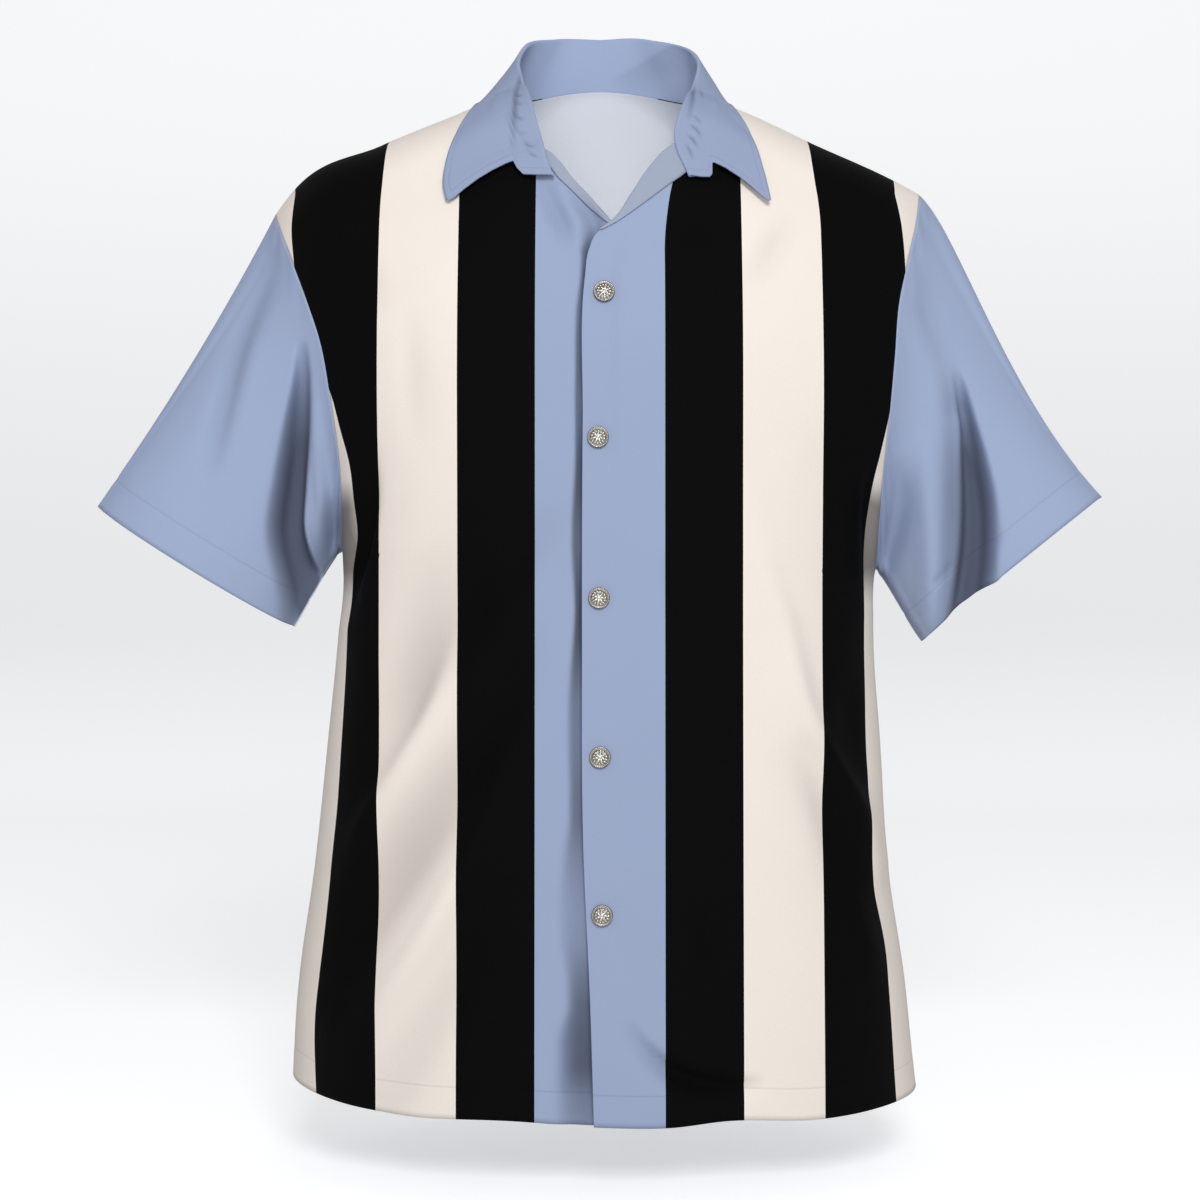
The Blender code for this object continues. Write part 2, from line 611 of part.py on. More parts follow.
def sleeve(x_sign, loop, loop_normals, cuff_outer, cuff_inner, folds):
    """Grid of a sleeve: rows from the armhole to the cuff, columns round it from the
    shoulder over the front. It leaves the armhole as the torso's own surface goes on,
    then bends down to an oval cuff."""
    # Finer columns where the sleeve folds.
    points, normals = [], []
    count = len(loop)
    for place in range(count):
        points.append(loop[place])
        normals.append(loop_normals[place])
        if SPLIT_FROM <= place <= SPLIT_TO:
            following = (place + 1) % count
            points.append(0.5 * (loop[place] + loop[following]))
            normals.append(unit(loop_normals[place] + loop_normals[following]))
    loop, normals = np.array(points), np.array(normals)
    run = np.linalg.norm(loop - np.roll(loop, 1, axis=0), axis=1)
    run[0] = 0.0
    run = np.cumsum(run)
    under = int(np.argmin(loop[:, 2]))
    total = run[-1] + np.linalg.norm(loop[-1] - loop[0])
    angle = np.where(np.arange(len(loop)) <= under, math.pi * run / run[under],
                     math.pi + math.pi * (run - run[under]) / (total - run[under]))
    around = np.roll(loop, -1, axis=0) - np.roll(loop, 1, axis=0)
    leaving = unit(np.cross(normals, around))
    leaving = leaving * np.sign(leaving[0, 0] * x_sign)
    outer = np.array(cuff_outer)
    inner = np.array(cuff_inner)
    middle = 0.5 * (outer + inner)
    major = 0.5 * (outer - inner)
    minor = np.array((0.0, -CUFF_HALF_DEPTH, 0.0))
    cuff = middle + np.cos(angle)[:, None] * major + np.sin(angle)[:, None] * minor
    down_arm = unit(np.array((major[2] * x_sign, 0.0, -major[0] * x_sign)))
    # The seam is a little wider under the arm, where both its edges twist.
    under_arm = np.clip(-np.cos(angle), 0.0, 1.0) ** 4
    start = loop + leaving * (SEAM_GAP * (1.0 + under_arm))[:, None]
    # The sleeve's top keeps the shoulder's slope for longer than its underside.
    everywhere, at_shoulder, at_sides = SLEEVE_LEAD
    reach = everywhere + at_shoulder * (0.5 + 0.5 * np.cos(angle)) + at_sides * np.abs(np.sin(angle))
    near = start + leaving * reach[:, None]
    length = np.linalg.norm(cuff - start, axis=1)
    far = cuff - down_arm * (CUFF_LEAD * length)[:, None]
    grid = []
    for t in SLEEVE_ROWS:
        grid.append((1 - t) ** 3 * start + 3 * t * (1 - t) ** 2 * near
                    + 3 * t * t * (1 - t) * far + t ** 3 * cuff)
    grid = np.array(grid)
    grid = np.concatenate((grid, grid[:, :1]), axis=1)
    outward = grid_normals(grid, True)
    outward[0] = np.concatenate((normals, normals[:1]))
    spread = np.array([*angle, 2 * math.pi])
    sunk = np.zeros(grid.shape[:2])
    for fold_angle, cuff_angle, begins, half_angle, depth in folds:
        for row, t in enumerate(SLEEVE_ROWS):
            centre = math.radians(fold_angle + (cuff_angle - fold_angle) * t)
            width = math.radians(half_angle)
            rise = ease((t - begins) / SLEEVE_FOLD_RISE)
            sunk[row] += depth * rise * np.exp(-((spread - centre) / width) ** 2)
    grid = grid - outward * sunk[..., None]
    refreshed = grid_normals(grid, True)
    refreshed[0] = outward[0]
    return grid, refreshed


# --- Pieces that lie on the panels -------------------------------------------------------

def on_panel(grid, normals, row, distance):
    """Point and normal of a front at a row, a distance in from its closure edge, or out
    past the edge where that is negative."""
    low = min(int(math.floor(row)), len(grid) - 2)
    part = row - low
    line = grid[low] * (1 - part) + grid[low + 1] * part
    line_normals = normals[low] * (1 - part) + normals[low + 1] * part
    if distance <= 0.0:
        return line[0] + unit(line[0] - line[1]) * -distance, unit(line_normals[0])
    run = np.concatenate(([0.0], np.cumsum(np.linalg.norm(np.diff(line, axis=0), axis=1))))
    point = np.array([np.interp(distance, run, line[:, axis]) for axis in range(3)])
    normal = np.array([np.interp(distance, run, line_normals[:, axis]) for axis in range(3)])
    return point, unit(normal)


def facing(grid, normals, revers):
    """Grid of a facing that wraps the V's edge: behind it, round it and out over the front."""
    behind = -(CLOTH + SEAM_GAP + FACING)
    over = 2.0 * SEAM_GAP + FACING
    past = -(SEAM_GAP + FACING)
    places = []
    for first, last in zip(revers[:-1], revers[1:]):
        places.append(tuple(first))
        places.append(tuple(0.5 * (first + last)))
    places.append(tuple(revers[-1]))
    wrapped = []
    for row, width in places:
        path = [(FACING_INSIDE, behind), (0.4 * FACING_INSIDE, behind), (0.8 * past, behind),
                (past, -0.5 * CLOTH), (0.8 * past, over), (0.35 * width, over),
                (0.7 * width, over), (width, over)]
        line = []
        for distance, offset in path:
            point, normal = on_panel(grid, normals, row, distance)
            line.append(point + normal * offset)
        wrapped.append(line)
    wrapped = np.array(wrapped)
    outward = grid_normals(wrapped)
    panel_normal = on_panel(grid, normals, revers[2][0], 0.0)[1]
    return wrapped, outward * np.sign(outward[4, -1] @ panel_normal)


def clear_of_torso(points, clearance):
    """Points moved out, square to the torso's outline at their own x, until they clear it."""
    cleared = points.copy()
    clearance = np.broadcast_to(clearance, points.shape[:-1])
    drops = OUTLINE_DROP * np.linspace(0.0, 1.0, OUTLINE_STEPS) ** 2
    for place in np.ndindex(points.shape[:-1]):
        x, y, z = points[place]
        front = y < 0.0
        across = np.full(len(drops), x)
        heights = float(top_height(x, front)) - drops
        outline = torso_point(-1 if x < 0.0 else 1, across, heights, front)[:, 1:]
        along = unit(np.gradient(outline, axis=0))
        outward = np.stack((along[:, 1], -along[:, 0]), axis=1) * (1.0 if front else -1.0)
        nearest = int(np.argmin(((outline - (y, z)) ** 2).sum(axis=1)))
        distance = float((np.array((y, z)) - outline[nearest]) @ outward[nearest])
        wanted = clearance[place]
        if front and x > 0.0:
            wanted = wanted + overlap_lift(x, z)
        if distance < wanted:
            cleared[place][1:] += outward[nearest] * (wanted - distance)
    return cleared


def neck_edge(front, front_normals, back, back_normals, x_sign):
    """Half of the neck seam, from the middle of the back over the neck point and down the
    front's edge to the gorge: points, normals and the place along the collar of each."""
    middle = BACK_HALF_COLUMNS
    step = x_sign
    back_line = [back[-1, middle + step * column] for column in range(BACK_NECK_COLUMNS)]
    back_line_normals = [back_normals[-1, middle + step * column] for column in range(BACK_NECK_COLUMNS)]
    front_rows = range(len(front) - 1, GORGE_ROW - 1, -1)
    points = np.array(back_line + [front[row, 0] for row in front_rows])
    normals = np.array(back_line_normals + [front_normals[row, 0] for row in front_rows])
    run = np.concatenate(([0.0], np.cumsum(np.linalg.norm(np.diff(points, axis=0), axis=1))))
    corner = BACK_NECK_COLUMNS
    place = np.where(run <= run[corner], 0.5 * run / run[corner],
                     0.5 + (GORGE_PLACE - 0.5) * (run - run[corner]) / (run[-1] - run[corner]))
    return points, normals, place


def collar_half(front, front_normals, back, back_normals, x_sign, table, gorge_end, end_column):
    """Grid of half of the collar: rows from its base over the roll to the outer edge,
    columns from the middle of the back to its end."""
    edge, edge_normals, edge_place = neck_edge(front, front_normals, back, back_normals, x_sign)
    along = unit(np.gradient(edge, axis=0))
    inward = unit(np.cross(edge_normals, along))
    inward = inward * np.sign(inward[0] @ np.array((0.0, -1.0, 1.0)))
    base_line = edge - inward * COLLAR_LAP + edge_normals * COLLAR_SEAT

    def base(place):
        """Point and the panel's normal at the collar's base."""
        if place <= GORGE_PLACE:
            point = np.array([np.interp(place, edge_place, base_line[:, axis]) for axis in range(3)])
            normal = np.array([np.interp(place, edge_place, edge_normals[:, axis]) for axis in range(3)])
            return point, normal
        part = (place - GORGE_PLACE) / (1.0 - GORGE_PLACE)
        row = GORGE_ROW + (gorge_end[0] - GORGE_ROW) * part
        distance = COLLAR_LAP + (gorge_end[1] - COLLAR_LAP) * part
        point, normal = on_panel(front, front_normals, row, distance)
        return point + normal * COLLAR_SEAT, normal

    def section(place):
        roll = np.array([smooth(table, place, column) for column in (1, 2, 3)])
        if place > 0.5:
            roll = clear_of_torso(roll[None], COLLAR_SEAT)[0]
        outer = np.array([smooth(table, place, column) for column in (4, 5, 6)])
        ahead = np.array([smooth(table, min(place + 0.01, 1.0), column) for column in (1, 2, 3)])
        behind = np.array([smooth(table, max(place - 0.01, 0.0), column) for column in (1, 2, 3)])
        foot, normal = base(place)
        stand = unit(roll - foot)
        over = unit(np.cross(stand, ahead - behind))
        over = over * np.sign(over @ normal)
        return foot, roll, outer, stand, over

    # Its columns stand at the panels' own corners, halfway between them on the front, and
    # along the gorge.
    corner = BACK_NECK_COLUMNS
    front_places = edge_place[corner:]
    halfway = 0.5 * (front_places[:-1] + front_places[1:])
    places = np.sort(np.concatenate((edge_place[:corner], front_places, halfway,
                                     np.linspace(GORGE_PLACE, 1.0, GORGE_COLUMNS + 1)[1:])))
    columns = []
    for place in places:
        foot, roll, outer, stand, over = section(place)
        line = [foot, 0.5 * (foot + roll), roll, roll + (stand + over) * COLLAR_ROLL]
        for across, reach in COLLAR_END[:, (0, end_column)]:
            share = float(ease((place - COLLAR_END_FROM) / (1.0 - COLLAR_END_FROM)))
            own = place - (1.0 - reach) * share
            foot, roll, outer, stand, over = section(own)
            start = roll + 2.0 * COLLAR_ROLL * over
            line.append(start + (outer - start) * across
                        + over * COLLAR_BOW * math.sin(math.pi * across))
        columns.append(line)
    grid = np.array(columns).transpose(1, 0, 2)
    # The fall clears the stand's base too where that lies under it, near the roll.
    over_stand = ease((STAND_COVER[0] - COLLAR_END[:, :1]) / STAND_COVER[1])
    clearance = COLLAR + COLLAR_SEAT + (COLLAR + 3.0 * SEAM_GAP) * over_stand
    fall = len(grid) - len(COLLAR_END)
    grid[fall:] = clear_of_torso(grid[fall:], clearance)
    return grid


def add_button(name, x, z):
    """A round dished button with a raised rim, square on the top front."""
    flat = left[..., (0, 2)] - np.array((x, z))
    nearest = np.unravel_index(np.argmin((flat ** 2).sum(axis=-1)), flat.shape[:2])
    normal = left_normals[nearest]
    reach = left[nearest] - np.array((x, 0.0, z))
    # Depth of the panel's plane at the button's place.
    y = left[nearest][1] + (normal[0] * reach[0] + normal[2] * reach[2]) / normal[1]
    mesh = bpy.data.meshes.new(name)
    work = bmesh.new()
    ring = [work.verts.new((radius, 0.0, height)) for radius, height in BUTTON_PROFILE]
    for first, second in zip(ring[:-1], ring[1:]):
        work.edges.new((first, second))
    bmesh.ops.spin(work, geom=work.verts[:] + work.edges[:], angle=2.0 * math.pi,
                   steps=BUTTON_STEPS, axis=(0, 0, 1), cent=(0, 0, 0))
    bmesh.ops.remove_doubles(work, verts=work.verts, dist=0.00001)
    bmesh.ops.recalc_face_normals(work, faces=work.faces)
    work.to_mesh(mesh)
    work.free()
    mesh.shade_smooth()
    mesh.set_sharp_from_angle(angle=math.radians(40))
    button = add_object(name, mesh, button_metal)
    turn = Vector((0.0, 0.0, 1.0)).rotation_difference(Vector(normal))
    button.location = Vector((x, y, z)) + Vector(normal) * SEAM_GAP
    button.rotation_mode = "QUATERNION"
    button.rotation_quaternion = turn


clear_scene()
shirt = bpy.data.collections.new("bowling_shirt")
bpy.context.scene.collection.children.link(shirt)

blue_cloth = add_material("blue cloth", (0.34, 0.41, 0.58), 0.75, 0.0)
striped_cloth = add_material("striped cloth", (0.55, 0.55, 0.58), 0.75, 0.0)
pale_cloth = add_material("pale wrong side", (0.62, 0.68, 0.78), 0.8, 0.0)
button_metal = add_material("button metal", (0.60, 0.57, 0.50), 0.3, 1.0)

# Panels: the seams' two sides share their normals, so that their cut edges lie parallel.
columns = np.linspace(0.0, 1.0, FRONT_COLUMNS + 1)
back_columns = np.abs(np.linspace(-1.0, 1.0, 2 * BACK_HALF_COLUMNS + 1))
rows = rows_up()
top_fade = ease((2.0 - rows) / TOP_FADE)[:, None]
side_fade = ease((1.0 - columns) / SEAM_FADE) * top_fade
back_fade = ease((1.0 - back_columns) / SEAM_FADE) * top_fade
right = front_panel(-1)
left = front_panel(1)
back = back_panel()
right = folded(right, grid_normals(right), RIGHT_FRONT_FOLDS, side_fade)
left = folded(left, grid_normals(left), LEFT_FRONT_FOLDS, side_fade)
back = folded(back, grid_normals(back), BACK_FOLDS, back_fade)
right_normals = grid_normals(right)
left_normals = grid_normals(left)
back_normals = grid_normals(back)
for front_normals, back_edge in ((right_normals, 0), (left_normals, -1)):
    side = unit(front_normals[:, -1] + back_normals[:, back_edge])
    side[ROWS_BELOW_ARM + 1:-1] = 0.0
    below = slice(0, ROWS_BELOW_ARM + 1)
    side[below, 1] = 0.0
    side[below] = unit(side[below])
    front_normals[below, -1] = side[below]
    back_normals[below, back_edge] = side[below]
for normals in (right_normals, left_normals):
    normals[-1, :, 1] = 0.0
    normals[-1] = unit(normals[-1])
shoulder_columns = np.abs(back[-1, :, 0]) >= NECK_HALF_WIDTH - 0.001
back_normals[-1, shoulder_columns, 1] = 0.0
back_normals[-1, shoulder_columns] = unit(back_normals[-1, shoulder_columns])
right[..., 1] -= 0.5 * SEAM_GAP
left[..., 1] -= 0.5 * SEAM_GAP
back[..., 1] += 0.5 * SEAM_GAP
cloth_wall("front_right", right, right_normals, striped_cloth)
cloth_wall("front_left", left, left_normals, striped_cloth)
cloth_wall("back", back, back_normals, striped_cloth)

for x_sign, name, front, front_normals, back_edge, outer, inner, folds in (
        (-1, "sleeve_right", right, right_normals, 0, CUFF_RIGHT_OUTER, CUFF_RIGHT_INNER, SLEEVE_RIGHT_FOLDS),
        (1, "sleeve_left", left, left_normals, -1, CUFF_LEFT_OUTER, CUFF_LEFT_INNER, SLEEVE_LEFT_FOLDS)):
    loop, loop_normals = armhole_loop(front, front_normals, back, back_normals, -1, back_edge, x_sign)
    grid, normals = sleeve(x_sign, loop, loop_normals, outer, inner, folds)
    cloth_wall(name, grid, normals, blue_cloth)

for name, front, normals, revers in (("facing_right", right, right_normals, REVERS_RIGHT),
                                     ("facing_left", left, left_normals, REVERS_LEFT)):
    grid, outward = facing(front, normals, revers)
    cloth_wall(name, grid, outward, pale_cloth, FACING)

half_right = collar_half(right, right_normals, back, back_normals, -1, COLLAR_RIGHT, GORGE_END_RIGHT, 1)
half_left = collar_half(left, left_normals, back, back_normals, 1, COLLAR_LEFT, GORGE_END_LEFT, 2)
middle = half_right.shape[1] - 1
collar = np.concatenate((half_right[:, :0:-1], half_left), axis=1)
collar_normals = grid_normals(collar)
collar_normals = collar_normals * np.sign(collar_normals[-1, middle, 1])
cloth_wall("collar", collar, collar_normals, blue_cloth, COLLAR)

for number, (x, z) in enumerate(BUTTONS, start=1):
    add_button(f"button_{number}", x, z)
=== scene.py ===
"""Looks of a men's bowling shirt: wide blue, black and cream stripes, blue sleeves and camp
collar, and five embossed metal buttons. It stands filled out with no wearer."""
import math

import bmesh
import bpy
import numpy as np
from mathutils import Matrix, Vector


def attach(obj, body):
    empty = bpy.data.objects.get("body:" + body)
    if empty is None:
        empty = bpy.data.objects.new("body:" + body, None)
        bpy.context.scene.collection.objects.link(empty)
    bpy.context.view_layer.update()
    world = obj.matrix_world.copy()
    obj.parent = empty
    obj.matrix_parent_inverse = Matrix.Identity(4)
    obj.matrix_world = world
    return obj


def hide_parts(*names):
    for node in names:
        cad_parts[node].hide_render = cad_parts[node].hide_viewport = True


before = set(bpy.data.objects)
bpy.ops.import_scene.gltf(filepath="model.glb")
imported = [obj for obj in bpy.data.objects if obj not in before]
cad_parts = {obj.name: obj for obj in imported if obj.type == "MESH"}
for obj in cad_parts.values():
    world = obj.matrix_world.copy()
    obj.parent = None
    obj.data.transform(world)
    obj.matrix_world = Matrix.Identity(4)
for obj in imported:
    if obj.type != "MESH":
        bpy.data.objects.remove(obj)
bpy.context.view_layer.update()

# ----------------------------------------
# Studio. A pale floor that sweeps up into a backdrop, a high key lamp and a weak low one,
# both from the front, and a level camera 1.7 m before the shirt at the height of its chest.
# ----------------------------------------
floor_height = -0.790
sweep_start = 2.6               # how far behind the shirt the floor begins to rise
sweep_radius = 1.6
sweep_half_width = 7.0
sweep_front = -5.0
backdrop_rise = 3.0
view_height = -0.375
view_distance = 1.7
soft_white = (0.95, 0.95, 0.95, 1.0)


def new_object(name, data):
    """An object of the scene that shows data."""
    made = bpy.data.objects.new(name, data)
    bpy.context.scene.collection.objects.link(made)
    return made


def join(tree, *links):
    """Links each pair of an output and an input socket."""
    for output, target in links:
        tree.links.new(output, target)


def set_inputs(node, inputs):
    """Sets some of a node's inputs by name."""
    for name, value in inputs.items():
        node.inputs[name].default_value = value


def add_node(tree, kind, inputs=None):
    """A new node, with some of its inputs set."""
    node = tree.nodes.new("ShaderNode" + kind)
    set_inputs(node, inputs or {})
    return node


def new_material(name, inputs):
    """A material, its node tree and its shader, with some of the shader's inputs set."""
    material = bpy.data.materials.new(name)
    material.use_nodes = True
    shader = material.node_tree.nodes["Principled BSDF"]
    set_inputs(shader, inputs)
    return material, material.node_tree, shader


sweep = bmesh.new()
near_left = sweep.verts.new((-sweep_half_width, sweep_front, floor_height))
near_right = sweep.verts.new((sweep_half_width, sweep_front, floor_height))
front_edge = sweep.edges.new((near_left, near_right))
made = bmesh.ops.extrude_edge_only(sweep, edges=[front_edge])
for part in made["geom"]:
    if isinstance(part, bmesh.types.BMVert):
        part.co.y = sweep_start
back_edge = [part for part in made["geom"] if isinstance(part, bmesh.types.BMEdge)]
made = bmesh.ops.spin(sweep, geom=back_edge + [vert for edge in back_edge for vert in edge.verts],
                      angle=0.5 * math.pi, steps=32, axis=(1, 0, 0),
                      cent=(0, sweep_start, floor_height + sweep_radius))
back_edge = [part for part in made["geom_last"] if isinstance(part, bmesh.types.BMEdge)]
made = bmesh.ops.extrude_edge_only(sweep, edges=back_edge)
for part in made["geom"]:
    if isinstance(part, bmesh.types.BMVert):
        part.co.z += backdrop_rise
bmesh.ops.remove_doubles(sweep, verts=sweep.verts, dist=0.0001)
bmesh.ops.recalc_face_normals(sweep, faces=sweep.faces)
floor_mesh = bpy.data.meshes.new("studio_floor")
sweep.to_mesh(floor_mesh)
sweep.free()
floor_mesh.shade_smooth()
studio_floor = new_object("studio_floor", floor_mesh)
# The floor's own glow is seen by the camera and doesn't light the shirt from below.
studio_floor.visible_diffuse = False

floor_paint, floor_tree, floor_shader = new_material("floor paint", {
    "Base Color": soft_white,
    "Emission Strength": 1.0,
    "Roughness": 0.9,
    "Specular IOR Level": 0.1,
})
floor_mesh.materials.append(floor_paint)
# The backdrop glows: bright at the floor, a little less behind the chest, bright again above.
glow_bottom = -0.80
glow_top = 1.20
glow_stops = (
    (0.00, (0.42, 0.42, 0.42, 1.0)),
    (0.20, (0.32, 0.32, 0.322, 1.0)),
    (1.00, (0.45, 0.45, 0.45, 1.0)),
)
floor_place = add_node(floor_tree, "TexCoord")
floor_parts = add_node(floor_tree, "SeparateXYZ")
floor_rise = add_node(floor_tree, "MapRange", {"From Min": glow_bottom, "From Max": glow_top})
floor_glow = add_node(floor_tree, "ValToRGB")
floor_glow.color_ramp.interpolation = "EASE"
floor_glow.color_ramp.elements.new(glow_stops[1][0])
for stop, (place, colour) in zip(floor_glow.color_ramp.elements, glow_stops):
    stop.position = place
    stop.color = colour
join(floor_tree, (floor_place.outputs["Object"], floor_parts.inputs[0]),
     (floor_parts.outputs[2], floor_rise.inputs["Value"]), (floor_rise.outputs[0], floor_glow.inputs[0]),
     (floor_glow.outputs[0], floor_shader.inputs["Emission Color"]))


def add_lamp(name, place, aim, size, power):
    """A large square soft lamp at a place, turned to what it lights."""
    data = bpy.data.lights.new(name, "AREA")
    data.shape = "SQUARE"
    data.size = size
    data.energy = power
    lamp = new_object(name, data)
    lamp.location = place
    lamp.rotation_euler = (Vector(aim) - Vector(place)).to_track_quat("-Z", "Y").to_euler()


add_lamp("key lamp", (0.25, -2.8, 1.0), (0.0, 0.0, -0.50), 0.9, 50.5)
add_lamp("low fill lamp", (-0.2, -3.0, -0.35), (0.0, 0.0, -0.60), 0.8, 13.0)

world = bpy.data.worlds.new("studio air")
world.use_nodes = True
set_inputs(world.node_tree.nodes["Background"], {"Color": (0.95, 0.97, 1.0, 1.0), "Strength": 0.42})
bpy.context.scene.world = world
bpy.context.scene.view_settings.view_transform = "Standard"
bpy.context.scene.view_settings.look = "None"

camera_data = bpy.data.cameras.new("camera")
camera_data.lens = 68.0
camera_data.sensor_width = 36.0
camera = new_object("camera", camera_data)
camera.location = (0.0, -view_distance, view_height)
camera.rotation_euler = (0.5 * math.pi, 0.0, 0.0)
bpy.context.scene.camera = camera

# ----------------------------------------
# Shirt cloth. A fine plain weave in a smooth yarn, printed on its right side with stripes
# that run down the body, and pale on its wrong side. It is dull, with a faint soft sheen.
# ----------------------------------------
# Painted shade: the body's blue is the sleeves' cloth, coloured a little darker.
blue = (0.328, 0.393, 0.564)
black = (0.0016, 0.0016, 0.0018)
cream = (0.880, 0.800, 0.725)
pale = (0.860, 0.890, 0.960)
print_margin = (0.46, 0.50, 0.60)   # a hair line of bare cloth where two printed colours meet
# How far out from the shirt's middle line the blue, the first black, the cream and the second
# black stripe end.
blue_end = 0.044
black_end = 0.100
cream_end = 0.157
last_end = 0.214
stripe_span = 0.40              # the printed colours' ramp reaches this far out
stripe_starts = (
    (blue_end, print_margin),
    (blue_end + 0.0005, black),
    (black_end, cream),
    (cream_end, black),
    (last_end, cream),
)
cloth_thickness = 0.0012
hem_turn = 0.022                # widths of the turnings at the hem and the cuffs
cuff_turn = 0.024
collar_stitch_in = 0.0055
thread_pitch = 0.00055
yarn_scale = 700.0              # the yarn's unevenness is fine, the cloth's cloudiness broad
cloud_scale = 14.0
cloth_roughness = 0.78
stitch_length = 0.0028
stitch_half_width = 0.00022
stitch_half_share = 0.36        # half of a stitch's share of its length, the rest is the gap
stitch_dent = 0.0010            # a row of stitches dents the cloth this far to each side
fold_shade = 0.70


def reckon(tree, operation, first, second=None, third=None):
    """A Math node on two or three sockets or numbers, and its output."""
    node = add_node(tree, "Math")
    node.operation = operation
    for place, value in enumerate((first, second, third)):
        if value is None:
            continue
        if isinstance(value, (int, float)):
            node.inputs[place].default_value = value
        else:
            tree.links.new(value, node.inputs[place])
    return node.outputs[0]


def mix_colours(tree, share, first, second):
    """A Mix node between two colours or colour sockets, and its output."""
    node = add_node(tree, "Mix")
    node.data_type = "RGBA"
    for socket, value in ((node.inputs[0], share), (node.inputs[6], first), (node.inputs[7], second)):
        if isinstance(value, (int, float)):
            socket.default_value = value
        elif isinstance(value, tuple):
            socket.default_value = (*value, 1.0)
        else:
            tree.links.new(value, socket)
    return node.outputs[2]


def split(tree, socket):
    """The three parts of a vector."""
    parts = add_node(tree, "SeparateXYZ")
    join(tree, (socket, parts.inputs[0]))
    return parts.outputs


def cut_place(tree):
    """Place on the flat cloth, across and up it."""
    cut = add_node(tree, "UVMap")
    cut.uv_map = "cut"
    return cut.outputs[0]


def edge_parts(tree):
    """Distance in from the sewn edge, place along it, and the share of painted shade."""
    edge = add_node(tree, "Attribute")
    edge.attribute_name = "edge"
    return split(tree, edge.outputs["Vector"])


def add_group(tree, group, inputs):
    """A node that holds a group, with some of its inputs set by name."""
    node = add_node(tree, "Group")
    node.node_tree = group
    set_inputs(node, inputs)
    return node


def new_group(name, inputs, outputs):
    """A node group with its sockets, and the nodes that hold them."""
    group = bpy.data.node_groups.new(name, "ShaderNodeTree")
    for way, sockets in (("INPUT", inputs), ("OUTPUT", outputs)):
        for socket in sockets:
            kind = "NodeSocketColor" if socket == "Colour" else "NodeSocketFloat"
            group.interface.new_socket(socket, in_out=way, socket_type=kind)
    return group, group.nodes.new("NodeGroupInput"), group.nodes.new("NodeGroupOutput")


def make_weave_group():
    """Plain weave: warp and weft cross in turn, and the yarn is a little uneven."""
    group, given, result = new_group("plain weave", ("Colour", "Thread pitch", "Unevenness"),
                                     ("Colour", "Height", "Roughness"))
    cut = cut_place(group)
    across, up, _ = split(group, cut)
    turn = reckon(group, "DIVIDE", 2.0 * math.pi, given.outputs["Thread pitch"])
    warp = reckon(group, "SINE", reckon(group, "MULTIPLY", across, turn))
    weft = reckon(group, "SINE", reckon(group, "MULTIPLY", up, turn))
    crossing = reckon(group, "MULTIPLY", warp, weft)
    yarn = add_node(group, "TexNoise", {"Scale": yarn_scale, "Detail": 2.0})
    cloud = add_node(group, "TexNoise", {"Scale": cloud_scale, "Detail": 3.0})
    join(group, (cut, yarn.inputs["Vector"]), (cut, cloud.inputs["Vector"]))
    grain = reckon(group, "SUBTRACT", yarn.outputs[0], 0.5)
    tone = reckon(group, "ADD", reckon(group, "MULTIPLY", grain, 1.4),
                  reckon(group, "SUBTRACT", cloud.outputs[0], 0.5))
    tone = reckon(group, "ADD", tone, reckon(group, "MULTIPLY", crossing, 0.5))
    tone = reckon(group, "MULTIPLY_ADD", tone, given.outputs["Unevenness"], 1.0)
    scaled = add_node(group, "VectorMath")
    scaled.operation = "SCALE"
    height = reckon(group, "MULTIPLY_ADD", crossing, 0.5, reckon(group, "MULTIPLY", grain, 0.8))
    rough = reckon(group, "MULTIPLY_ADD", grain, 0.16, cloth_roughness)
    join(group, (given.outputs["Colour"], scaled.inputs[0]), (tone, scaled.inputs["Scale"]),
         (scaled.outputs[0], result.inputs["Colour"]), (height, result.inputs["Height"]),
         (rough, result.inputs["Roughness"]))
    return group


def make_stitch_group():
    """A row of machine stitches a set distance in from a sewn edge."""
    group, given, result = new_group("stitch row", ("Distance", "Stitch length"), ("Thread", "Dent"))
    inward, along, _ = edge_parts(group)
    away = reckon(group, "ABSOLUTE", reckon(group, "SUBTRACT", inward, given.outputs["Distance"]))
    near = reckon(group, "MINIMUM", reckon(group, "DIVIDE", away, stitch_dent), 1.0)
    dent = reckon(group, "SUBTRACT", 1.0, near)
    count = reckon(group, "DIVIDE", along, given.outputs["Stitch length"])
    beat = reckon(group, "ABSOLUTE", reckon(group, "SUBTRACT", reckon(group, "FRACT", count), 0.5))
    dash = reckon(group, "LESS_THAN", beat, stitch_half_share)
    thread = reckon(group, "MULTIPLY", reckon(group, "LESS_THAN", away, stitch_half_width), dash)
    join(group, (thread, result.inputs["Thread"]), (dent, result.inputs["Dent"]))
    return group


weave_group = make_weave_group()
stitch_group = make_stitch_group()


